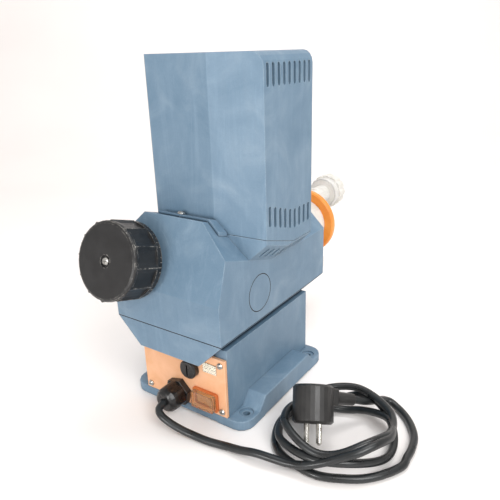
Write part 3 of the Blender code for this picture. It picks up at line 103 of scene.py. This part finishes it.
# the coil's turns, as (degrees round its middle, distance from it): loose, and crossing where they please
COIL_TURNS = (
    (253, 50), (272, 45), (295, 42), (320, 43), (345, 44), (370, 44), (405, 43), (450, 39), (495, 36), (540, 38),
    (585, 42), (630, 40.5), (675, 38), (720, 42), (765, 46.5), (810, 46), (855, 43), (900, 44), (945, 46.5),
    (990, 42.5), (1035, 40), (1080, 43.5), (1125, 48.5), (1170, 49), (1215, 47.5), (1260, 49.5), (1305, 48.5),
    (1350, 43.5), (1385, 43), (1412, 47.5),
)


def smooth_route(nodes, spacing):
    """Points on a smooth curve through the nodes, about spacing apart."""
    ends = [nodes[0] * 2 - nodes[1]] + nodes + [nodes[-1] * 2 - nodes[-2]]
    result = []
    for i in range(1, len(ends) - 2):
        before, start, stop, after = ends[i - 1 : i + 3]
        count = max(1, round((stop - start).length / spacing))
        for j in range(count):
            t = j / count
            result.append(
                0.5
                * (
                    2 * start
                    + (stop - before) * t
                    + (2 * before - 5 * start + 4 * stop - after) * t * t
                    + (3 * start - before - 3 * stop + after) * t**3
                )
            )
    return result + [nodes[-1]]


def lay_over(points, gap, high):
    """Raises each stretch towards clearing those laid before it, in long humps. The last point is laid first.

    It doesn't clear them all: the smoothing and the reach leave some strands passing through each other.
    """
    path = np.array([tuple(p) for p in points])[::-1]
    step = np.linalg.norm(np.diff(path, axis=0), axis=1).mean()
    skip, reach = int(3 * gap / step), int(7 * gap / step)
    hump = 0.5 + 0.5 * np.cos(np.linspace(-math.pi, math.pi, 2 * reach + 1))
    for i in range(len(path)):
        laid = path[: max(0, i - skip)]
        if not len(laid) or path[i, 2] > high:
            continue
        apart = np.hypot(laid[:, 0] - path[i, 0], laid[:, 1] - path[i, 1])
        near = (apart < gap) & (laid[:, 2] < high)
        if not near.any():
            continue
        need = (laid[near, 2] + np.sqrt(gap**2 - apart[near] ** 2)).max() - path[i, 2]
        if need <= 0:
            continue
        low, top = max(0, i - reach), min(len(path), i + reach + 1)
        lift = need * hump[low - i + reach : top - i + reach]
        path[low:top, 2] += np.maximum(lift, 0)
    for _ in range(6):
        path[1:-1, 2] = (path[:-2, 2] + 2 * path[1:-1, 2] + path[2:, 2]) / 4
    return [Vector(p) for p in path[::-1]]


def cord_points():
    """The whole lead from the gland to the plug, with its loops between."""
    lead = [Vector(p) * MM for p in LEAD_ROUTE]
    coil = []
    for degrees, radius in COIL_TURNS:
        angle = math.radians(degrees)
        coil.append(COIL_CENTRE + Vector((radius * math.cos(angle), radius * math.sin(angle), 3.4)) * MM)
    tail = [Vector(p) * MM for p in TAIL_ROUTE]
    ends = [PLUG_EXIT + PLUG_LEAD_DIR * TAIL_RISE, PLUG_EXIT + PLUG_LEAD_DIR * 0.4 * MM]
    route = smooth_route(lead + coil + tail + ends, ROUTE_SPACING)
    return lay_over(route, STRAND_GAP, LAID_BELOW)


def make_cord():
    """The lead as one curve, attached to the housing in place of the CAD cord pieces."""
    points = cord_points()
    curve = bpy.data.curves.new("mains_lead", "CURVE")
    curve.dimensions = "3D"
    curve.bevel_depth = 1.0  # times each point's radius, so that the curve's own bounds are true
    curve.bevel_resolution = 5
    curve.use_fill_caps = True
    spline = curve.splines.new("POLY")
    spline.points.add(len(points) - 1)
    for target, point in zip(spline.points, points):
        target.co = (*point, 1.0)
        target.radius = LEAD_R
    cord = bpy.data.objects.new("mains_lead", curve)
    bpy.context.scene.collection.objects.link(cord)
    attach(cord, "housing")
    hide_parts("cord_lead", "cord_coil", "cord_tail")
    return cord


mains_lead = make_cord()


# ------------------------------------------------------------------ materials


def linear(colour):
    """A colour written as sRGB hex, as the linear values that Blender works in."""
    channels = [int(colour[i : i + 2], 16) / 255 for i in (1, 3, 5)]
    return tuple(c / 12.92 if c <= 0.04045 else ((c + 0.055) / 1.055) ** 2.4 for c in channels) + (1.0,)


def add(tree, kind, links=(), **settings):
    """Adds a node of that kind.

    Settings are its properties or its inputs by name, and links pair an input with a socket.
    """
    node = tree.nodes.new(kind)
    for name, value in settings.items():
        if hasattr(node, name):
            setattr(node, name, value)
        else:
            fill(node, **{name: value})
    for name, socket in links:
        tree.links.new(socket, node.inputs[name])
    return node


def fill(node, **values):
    """Sets a node's inputs by name."""
    for name, value in values.items():
        node.inputs[name.replace("_", " ")].default_value = value


def new_material(name):
    """An empty material: its node tree, its shader and its object coordinates in metres."""
    made = bpy.data.materials.new(name)
    made.use_nodes = True
    tree = made.node_tree
    shader = tree.nodes["Principled BSDF"]
    place = tree.nodes.new("ShaderNodeTexCoord").outputs["Object"]
    return made, tree, shader, place


def ramp(tree, fac, *stops):
    """A colour ramp; each stop is (position, hex colour or grey value)."""
    node = tree.nodes.new("ShaderNodeValToRGB")
    elements = node.color_ramp.elements
    while len(elements) < len(stops):
        elements.new(0.5)
    for element, (position, value) in zip(elements, stops):
        element.position = position
        element.color = linear(value) if isinstance(value, str) else (value, value, value, 1.0)
    tree.links.new(fac, node.inputs["Fac"])
    return node.outputs["Color"]


def mixed(tree, factor, a, b, mode="MIX"):
    """Colour a turning into b with the factor; each is a socket, a hex colour or a number."""
    node = tree.nodes.new("ShaderNodeMix")
    node.data_type = "RGBA"
    node.blend_type = mode
    for socket, value in ((node.inputs["Factor"], factor), (node.inputs[6], a), (node.inputs[7], b)):
        if isinstance(value, str):
            socket.default_value = linear(value)
        elif isinstance(value, float):
            socket.default_value = value
        else:
            tree.links.new(value, socket)
    return node.outputs[2]


def openness(tree, distance):
    """White on open faces, dark in the gaps and corners where shade falls, by ambient occlusion."""
    return add(tree, "ShaderNodeAmbientOcclusion", samples=8, Distance=distance).outputs["AO"]


def edges(tree, width, opened=None):
    """White within width of an edge; with the openness given, only where the edge stands proud."""
    rounded = add(tree, "ShaderNodeBevel", samples=6, Radius=width)
    flat = tree.nodes.new("ShaderNodeNewGeometry").outputs["Normal"]
    dot = add(tree, "ShaderNodeVectorMath", [(0, rounded.outputs[0]), (1, flat)], operation="DOT_PRODUCT")
    turn = dot.outputs["Value"]
    near = add(tree, "ShaderNodeMapRange", [("Value", turn)], From_Min=0.995, From_Max=0.90).outputs[0]
    if opened is None:
        return near
    proud = ramp(tree, opened, (0.80, 0.0), (0.95, 1.0))
    return number(tree, "MULTIPLY", near, proud)


def bump(tree, height, strength, distance, normal=None):
    """A normal tilted by the height, of that depth in metres."""
    links = [("Height", height)] + ([("Normal", normal)] if normal else [])
    return add(tree, "ShaderNodeBump", links, Strength=strength, Distance=distance).outputs["Normal"]


def soft_grain(tree, shader, height, strength, depth, width):
    """A fine grain over edges that look rounded by width."""
    soft = add(tree, "ShaderNodeBevel", samples=6, Radius=width)
    tree.links.new(bump(tree, height, strength, depth, soft.outputs[0]), shader.inputs["Normal"])


def number(tree, operation, first, *rest):
    """One step of arithmetic on numbers or sockets."""
    node = tree.nodes.new("ShaderNodeMath")
    node.operation = operation
    for socket, value in zip(node.inputs, (first, *rest)):
        if isinstance(value, (int, float)):
            socket.default_value = value
        else:
            tree.links.new(value, socket)
    return node.outputs[0]


def radius_about(tree, place, point, axis):
    """Distance of each spot from an axis through the point."""
    apart = add(tree, "ShaderNodeVectorMath", [(0, place)], operation="SUBTRACT")
    apart.inputs[1].default_value = point
    turned = add(tree, "ShaderNodeVectorMath", [(0, apart.outputs[0])], operation="CROSS_PRODUCT")
    turned.inputs[1].default_value = axis
    return add(tree, "ShaderNodeVectorMath", [(0, turned.outputs[0])], operation="LENGTH").outputs["Value"]


def rub_arcs(tree, place):
    """Fine pale arcs round the knob, where fingers and grit have rubbed the leaning face."""
    radius = radius_about(tree, place, FOOT, KNOB_AXIS)
    reach = number(tree, "MULTIPLY", radius, 1300.0)
    thread = add(tree, "ShaderNodeTexNoise", [("W", reach)], noise_dimensions="1D", Scale=1.0, Detail=2.0)
    broken = add(tree, "ShaderNodeTexNoise", [("Vector", place)], Scale=55.0, Detail=4.0, Roughness=0.7)
    fine = ramp(tree, thread.outputs["Fac"], (0.56, 0.0), (0.68, 0.8))
    part = ramp(tree, broken.outputs["Fac"], (0.48, 0.0), (0.62, 0.7))
    inside = number(tree, "GREATER_THAN", radius, 33 * MM)
    fade = add(tree, "ShaderNodeMapRange", [("Value", radius)], From_Min=44 * MM, From_Max=35 * MM).outputs[0]
    return number(tree, "MULTIPLY", number(tree, "MULTIPLY", fine, part), number(tree, "MULTIPLY", inside, fade))


def joint_lines(tree, place):
    """The dirty hairlines where two mouldings meet: the level seam, and round the side plugs."""
    height = add(tree, "ShaderNodeSeparateXYZ", [("Vector", place)]).outputs["Z"]
    seam = number(tree, "COMPARE", height, SEAM_Z, 0.42 * MM)
    ring = number(tree, "COMPARE", radius_about(tree, place, SIDE_PLUG, (1, 0, 0)), SIDE_PLUG_R, 0.40 * MM)
    return number(tree, "MAXIMUM", seam, ring)


def moulded_housing():
    """Glass-filled ABS, moulded with a spark-eroded grain: soft sheen, cloudy pale streaks, pale worn edges, painted
    shade in its gaps.
    """
    made, tree, shader, place = new_material("moulded_housing")
    cloud = add(
        tree, "ShaderNodeTexNoise", [("Vector", place)], Scale=26.0, Detail=7.0, Roughness=0.62, Distortion=0.8
    )
    colour = ramp(tree, cloud.outputs["Fac"], (0.30, "#5B778D"), (0.52, "#678196"), (0.75, "#7A90A2"))
    # pale vertical streaks, about 12 mm apart, in the colour and in the gloss
    tall = add(tree, "ShaderNodeMapping", [("Vector", place)], Scale=(90.0, 90.0, 9.0))
    tall_streaks = add(
        tree, "ShaderNodeTexNoise", [("Vector", tall.outputs[0])], Scale=1.0, Detail=5.0, Roughness=0.7, Distortion=1.4
    )
    streak = ramp(tree, tall_streaks.outputs["Fac"], (0.50, 0.0), (0.74, 1.0))
    colour = mixed(tree, number(tree, "MULTIPLY", streak, 0.26), colour, "#93A9BC")
    # the grain, about 0.5 mm, coarser than the real one so that it shows
    grain = add(tree, "ShaderNodeTexNoise", [("Vector", place)], Scale=1500.0, Detail=3.0, Roughness=0.6)
    speck = ramp(tree, grain.outputs["Fac"], (0.35, 0.46), (0.65, 0.55))
    colour = mixed(tree, 0.5, colour, speck, "OVERLAY")
    opened = openness(tree, 3 * MM)
    worn = edges(tree, 1.2 * MM, opened)
    patchy = add(tree, "ShaderNodeTexNoise", [("Vector", place)], Scale=110.0, Detail=4.0, Roughness=0.7)
    patch = ramp(tree, patchy.outputs["Fac"], (0.36, 0.12), (0.66, 0.62))
    colour = mixed(tree, number(tree, "MULTIPLY", worn, patch), colour, "#A3B4C2")
    # painted shade: the colour turns dark blue-grey in the gaps, corners and slots, following the ambient occlusion
    colour = mixed(tree, ramp(tree, opened, (0.10, 0.0), (0.65, 1.0)), "#18222C", colour)
    colour = mixed(tree, rub_arcs(tree, place), colour, "#9DB3C6")
    colour = mixed(tree, joint_lines(tree, place), colour, "#141B22")
    tree.links.new(colour, shader.inputs["Base Color"])
    gloss = ramp(tree, tall_streaks.outputs["Fac"], (0.3, 0.42), (0.75, 0.62))
    tree.links.new(gloss, shader.inputs["Roughness"])
    fill(shader, IOR=1.53)
    soft_grain(tree, shader, grain.outputs["Fac"], 0.35, 0.12 * MM, 0.9 * MM)
    return made


def even_moulding(name, colours, roughness):
    """Smooth plastic or ceramic from a fine matt mould: even colour, faint clouding, pale edges, soft sheen."""
    made, tree, shader, place = new_material(name)
    cloud = add(
        tree, "ShaderNodeTexNoise", [("Vector", place)], Scale=40.0, Detail=5.0, Roughness=0.6, Distortion=0.5
    )
    colour = ramp(tree, cloud.outputs["Fac"], (0.32, colours[0]), (0.55, colours[1]), (0.78, colours[2]))
    worn = edges(tree, 0.8 * MM)
    colour = mixed(tree, number(tree, "MULTIPLY", worn, 0.4), colour, colours[3])
    tree.links.new(colour, shader.inputs["Base Color"])
    fill(shader, Roughness=roughness, IOR=1.49)
    grain = add(tree, "ShaderNodeTexNoise", [("Vector", place)], Scale=1400.0, Detail=2.0)
    soft_grain(tree, shader, grain.outputs["Fac"], 0.25, 0.08 * MM, 0.5 * MM)
    return made


def black_moulding(name, dark, light, wear_share, roughness, edge_width):
    """Black nylon, vinyl or rubber from a fine mould: clouded sheen, with pale rubbed edges."""
    made, tree, shader, place = new_material(name)
    cloud = add(tree, "ShaderNodeTexNoise", [("Vector", place)], Scale=90.0, Detail=6.0, Roughness=0.65)
    colour = ramp(tree, cloud.outputs["Fac"], (0.35, dark), (0.70, light))
    opened = openness(tree, 3 * MM)
    worn = edges(tree, edge_width, opened)
    patchy = add(tree, "ShaderNodeTexNoise", [("Vector", place)], Scale=180.0, Detail=5.0, Roughness=0.75)
    patch = ramp(tree, patchy.outputs["Fac"], (0.46, 0.0), (0.66, wear_share))
    colour = mixed(tree, number(tree, "MULTIPLY", worn, patch), colour, "#B9B6AE")
    tree.links.new(colour, shader.inputs["Base Color"])
    rough = ramp(tree, cloud.outputs["Fac"], (0.3, roughness - 0.08), (0.7, roughness + 0.08))
    tree.links.new(rough, shader.inputs["Roughness"])
    fill(shader, IOR=1.53)
    grain = add(tree, "ShaderNodeTexNoise", [("Vector", place)], Scale=1300.0, Detail=2.0)
    soft_grain(tree, shader, grain.outputs["Fac"], 0.3, 0.1 * MM, 0.8 * MM)
    return made


def lead_sheath():
    """Plasticised PVC, extruded: smooth and glossy, with a faint bloom and dust."""
    made, tree, shader, place = new_material("lead_sheath")
    cloud = add(tree, "ShaderNodeTexNoise", [("Vector", place)], Scale=70.0, Detail=5.0, Roughness=0.6)
    colour = ramp(tree, cloud.outputs["Fac"], (0.35, "#181A1B"), (0.70, "#25292B"))
    tree.links.new(colour, shader.inputs["Base Color"])
    rough = ramp(tree, cloud.outputs["Fac"], (0.3, 0.24), (0.75, 0.40))
    tree.links.new(rough, shader.inputs["Roughness"])
    fill(shader, IOR=1.53)
    fine = add(tree, "ShaderNodeTexNoise", [("Vector", place)], Scale=500.0, Detail=3.0)
    tree.links.new(bump(tree, fine.outputs["Fac"], 0.12, 0.1 * MM), shader.inputs["Normal"])
    return made


def white_moulding():
    """Natural polypropylene: milky, slightly see-through and waxy."""
    made, tree, shader, place = new_material("natural_polypropylene")
    cloud = add(tree, "ShaderNodeTexNoise", [("Vector", place)], Scale=60.0, Detail=4.0, Roughness=0.6)
    colour = ramp(tree, cloud.outputs["Fac"], (0.35, "#CFCDC7"), (0.70, "#E6E4DF"))
    tree.links.new(colour, shader.inputs["Base Color"])
    fill(shader, Roughness=0.38, IOR=1.49, Subsurface_Weight=0.35, Subsurface_Scale=1.0)
    fill(shader, Subsurface_Radius=(0.006, 0.006, 0.005))
    grain = add(tree, "ShaderNodeTexNoise", [("Vector", place)], Scale=900.0, Detail=2.0)
    soft_grain(tree, shader, grain.outputs["Fac"], 0.15, 0.08 * MM, 0.8 * MM)
    return made


def metal(name, dark, light, roughness, scale):
    """Machined or plated metal: fine turning lines and light tarnish."""
    made, tree, shader, place = new_material(name)
    cloud = add(tree, "ShaderNodeTexNoise", [("Vector", place)], Scale=scale, Detail=5.0, Roughness=0.65)
    colour = ramp(tree, cloud.outputs["Fac"], (0.35, dark), (0.65, light))
    tree.links.new(colour, shader.inputs["Base Color"])
    fill(shader, Metallic=1.0)
    rough = ramp(tree, cloud.outputs["Fac"], (0.3, roughness - 0.08), (0.7, roughness + 0.1))
    tree.links.new(rough, shader.inputs["Roughness"])
    line = add(tree, "ShaderNodeTexNoise", [("Vector", place)], Scale=scale * 8, Detail=2.0)
    soft_grain(tree, shader, line.outputs["Fac"], 0.1, 0.05 * MM, 0.3 * MM)
    return made


def amber_rocker():
    """Polycarbonate, tinted amber and lit from behind when the pump runs: glossy, darker in its depth."""
    made, tree, shader, place = new_material("amber_polycarbonate")
    cloud = add(tree, "ShaderNodeTexNoise", [("Vector", place)], Scale=120.0, Detail=3.0)
    colour = ramp(tree, cloud.outputs["Fac"], (0.35, "#B07A3A"), (0.70, "#D3A35C"))
    tree.links.new(colour, shader.inputs["Base Color"])
    fill(shader, Roughness=0.18, IOR=1.58)
    fine = add(tree, "ShaderNodeTexNoise", [("Vector", place)], Scale=700.0, Detail=2.0)
    tree.links.new(bump(tree, fine.outputs["Fac"], 0.08, 0.05 * MM), shader.inputs["Normal"])
    return made


def clear_cover():
    """Soft clear PVC splash cover: see-through, with a warm tint and a wet gloss."""
    made, tree, shader, place = new_material("clear_vinyl")
    cloud = add(tree, "ShaderNodeTexNoise", [("Vector", place)], Scale=90.0, Detail=3.0)
    colour = ramp(tree, cloud.outputs["Fac"], (0.35, "#FFE2B8"), (0.70, "#FFF0D8"))
    tree.links.new(colour, shader.inputs["Base Color"])
    fill(shader, Roughness=0.08, IOR=1.45, Transmission_Weight=0.92)
    fine = add(tree, "ShaderNodeTexNoise", [("Vector", place)], Scale=260.0, Detail=2.0)
    tree.links.new(bump(tree, fine.outputs["Fac"], 0.1, 0.1 * MM), shader.inputs["Normal"])
    return made


def printed_label():
    """Paper sticker with rows of small print, too small to read: plain grey dashes, 1.6 mm apart."""
    made, tree, shader, place = new_material("printed_paper")
    parts = add(tree, "ShaderNodeSeparateXYZ", [("Vector", place)])
    rows = number(tree, "FRACT", number(tree, "MULTIPLY", parts.outputs["Z"], 1 / PRINT_PITCH))
    line = number(tree, "GREATER_THAN", rows, 0.55)
    wide = add(tree, "ShaderNodeMapping", [("Vector", place)], Scale=(1900.0, 1.0, 640.0))
    dashes = add(tree, "ShaderNodeTexNoise", [("Vector", wide.outputs[0])], Scale=1.0, Detail=1.0)
    gaps = ramp(tree, dashes.outputs["Fac"], (0.46, 0.0), (0.50, 1.0))
    colour = mixed(tree, number(tree, "MULTIPLY", line, gaps), "#F1E8D4", "#7A766C")
    tree.links.new(colour, shader.inputs["Base Color"])
    fill(shader, Roughness=0.55)
    return made


HOUSING = moulded_housing()
PANEL = even_moulding("panel_polypropylene", ("#E0A67A", "#EAB48C", "#F0C09C", "#F6D8C0"), 0.5)
RING = even_moulding("ring_polypropylene", ("#E8842C", "#F09338", "#F6A650", "#FAC488"), 0.42)
SWITCH = even_moulding("switch_polycarbonate", ("#B85A26", "#C76A32", "#D47C44", "#E8A272"), 0.3)
KNOB = black_moulding("knob_nylon", "#161617", "#222223", 1.0, 0.4, 1.6 * MM)
GLAND = black_moulding("gland_nylon", "#0F0F10", "#1A1A1B", 0.3, 0.3, 0.8 * MM)
PLUG = black_moulding("plug_vinyl", "#1E1E1E", "#2C2B2A", 0.25, 0.42, 0.8 * MM)
WHITE = white_moulding()
SHEATH = lead_sheath()
STEEL = metal("zinc_plated_steel", "#A5A4A0", "#D2D1CD", 0.3, 240.0)
PINS = metal("nickel_plated_brass", "#B7B5AE", "#E6E4DE", 0.2, 200.0)
ALUMINIUM = metal("cast_aluminium", "#9C9EA0", "#C2C4C6", 0.45, 160.0)
BRONZE = metal("bronze", "#8C6232", "#B98848", 0.35, 160.0)
COPPER = metal("varnished_copper", "#7C4A28", "#A8683C", 0.4, 500.0)
DARK_STEEL = metal("laminated_steel", "#55565A", "#7C7D80", 0.45, 300.0)
AMBER = amber_rocker()
CLEAR = clear_cover()
LABEL = printed_label()
CERAMIC = even_moulding("alumina_ceramic", ("#E8E6DF", "#EFEDE7", "#F5F3EE", "#FBFAF7"), 0.25)
RUBBER = black_moulding("diaphragm_rubber", "#2A2A2B", "#3A3A3B", 0.1, 0.7, 0.5 * MM)

SLOT_MATERIALS = {
    "housing": HOUSING,
    "plate_steel": DARK_STEEL,
    "panel": PANEL,
    "ring": RING,
    "label": LABEL,
    "amber": AMBER,
    "clear_cover": CLEAR,
    "knob": KNOB,
    "black_plastic": GLAND,
    "plug": PLUG,
    "cord": SHEATH,
    "membrane": RUBBER,
    "white_plastic": WHITE,
    "ceramic": CERAMIC,
    "bronze": BRONZE,
    "aluminium": ALUMINIUM,
    "laminations": DARK_STEEL,
    "windings": COPPER,
    "steel": STEEL,
    "pins": PINS,
}


def paint(obj, material):
    """Gives the object that one material."""
    obj.data.materials.clear()
    obj.data.materials.append(material)


for part in frame["record"]["subparts"]:
    paint(NODES[part["node"]], SLOT_MATERIALS[part["material_slot"]])
paint(NODES["switch_frame"], SWITCH)
paint(mains_lead, SHEATH)


# ------------------------------------------------------------------ small pieces

MARK_COUNT = 50
MARK_R = 31.85 * MM
SHORT_MARK = 1.6 * MM
LONG_MARK = 2.8 * MM
KNOB_STAND_OFF = 7 * MM  # from the leaning face to the knob's rear rim


def scale_marks():
    """Fine pale lines round the knob's rear rim, every fifth one longer."""
    shape = bmesh.new()
    for i in range(MARK_COUNT):
        length = LONG_MARK if i % 5 == 0 else SHORT_MARK
        spot = Matrix.Translation((MARK_R, 0, 0.4 * MM + length / 2))
        place = Matrix.Rotation(2 * math.pi * i / MARK_COUNT, 4, "Z") @ spot
        size = Matrix.Diagonal((0.1 * MM, 0.3 * MM, length, 1))
        bmesh.ops.create_cube(shape, size=1.0, matrix=place @ size)
    mesh = bpy.data.meshes.new("knob_scale")
    shape.to_mesh(mesh)
    shape.free()
    marks = bpy.data.objects.new("knob_scale", mesh)
    bpy.context.scene.collection.objects.link(marks)
    turn = KNOB_AXIS.to_track_quat("Z", "Y").to_matrix().to_4x4()
    marks.matrix_world = Matrix.Translation(FOOT + KNOB_AXIS * KNOB_STAND_OFF) @ turn
    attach(marks, "knob")
    paint(marks, MARKS)


def mark_paint():
    """White paint on the raised marks, worn dark in places."""
    made, tree, shader, place = new_material("mark_paint")
    chips = add(tree, "ShaderNodeTexNoise", [("Vector", place)], Scale=420.0, Detail=4.0)
    colour = ramp(tree, chips.outputs["Fac"], (0.44, "#2A2A2A"), (0.54, "#A5A29A"))
    tree.links.new(colour, shader.inputs["Base Color"])
    fill(shader, Roughness=0.6)
    return made


MARKS = mark_paint()
scale_marks()


# ------------------------------------------------------------------ studio


def studio():
    """A pale floor that sweeps up behind the pump, under a soft key light."""
    ahead, across = Vector((-0.568, 0.823, 0)), Vector((0.823, 0.568, 0))
    profile = [(-2.5, 0.0), (0.9, 0.0)]
    bends = np.linspace(0.05, math.pi / 2, 24)
    profile += [(0.9 + 0.8 * math.sin(a), 0.8 - 0.8 * math.cos(a)) for a in bends]
    profile += [(1.7, 3.0)]
    points = [ahead * reach + across * side + Vector((0, 0, z)) for reach, z in profile for side in (-3, 3)]
    faces = [(2 * i, 2 * i + 1, 2 * i + 3, 2 * i + 2) for i in range(len(profile) - 1)]
    mesh = bpy.data.meshes.new("floor")
    mesh.from_pydata([tuple(p) for p in points], [], faces)
    mesh.shade_smooth()
    floor = bpy.data.objects.new("floor", mesh)
    bpy.context.scene.collection.objects.link(floor)
    made, tree, shader, place = new_material("table_top")
    cloud = add(tree, "ShaderNodeTexNoise", [("Vector", place)], Scale=3.0, Detail=2.0)
    colour = ramp(tree, cloud.outputs["Fac"], (0.3, "#F8F4F2"), (0.7, "#FBF8F6"))
    tree.links.new(colour, shader.inputs["Base Color"])
    fill(shader, Roughness=0.6)
    paint(floor, made)

    world = bpy.data.worlds.new("studio")
    bpy.context.scene.world = world
    world.use_nodes = True
    world.node_tree.nodes["Background"].inputs["Color"].default_value = linear("#FFFBF8")
    world.node_tree.nodes["Background"].inputs["Strength"].default_value = 0.62
    for name, place, aim, size, power in (
        ("key", (0.95, -0.60, 0.95), (0, 0, 0.12), 0.7, 13.0),
        ("front", (-0.02, -1.20, 0.22), (0, 0, 0.20), 0.3, 4.0),
        ("back", (0.15, 0.35, 1.70), (-0.8, 1.3, 0.5), 0.8, 14.0),
    ):
        light = bpy.data.lights.new(name, "AREA")
        light.energy, light.size = power, size
        lamp = bpy.data.objects.new(name, light)
        bpy.context.scene.collection.objects.link(lamp)
        lamp.location = place
        lamp.rotation_euler = (Vector(aim) - Vector(place)).to_track_quat("-Z", "Y").to_euler()


studio()
bpy.context.scene.view_settings.view_transform = "Standard"
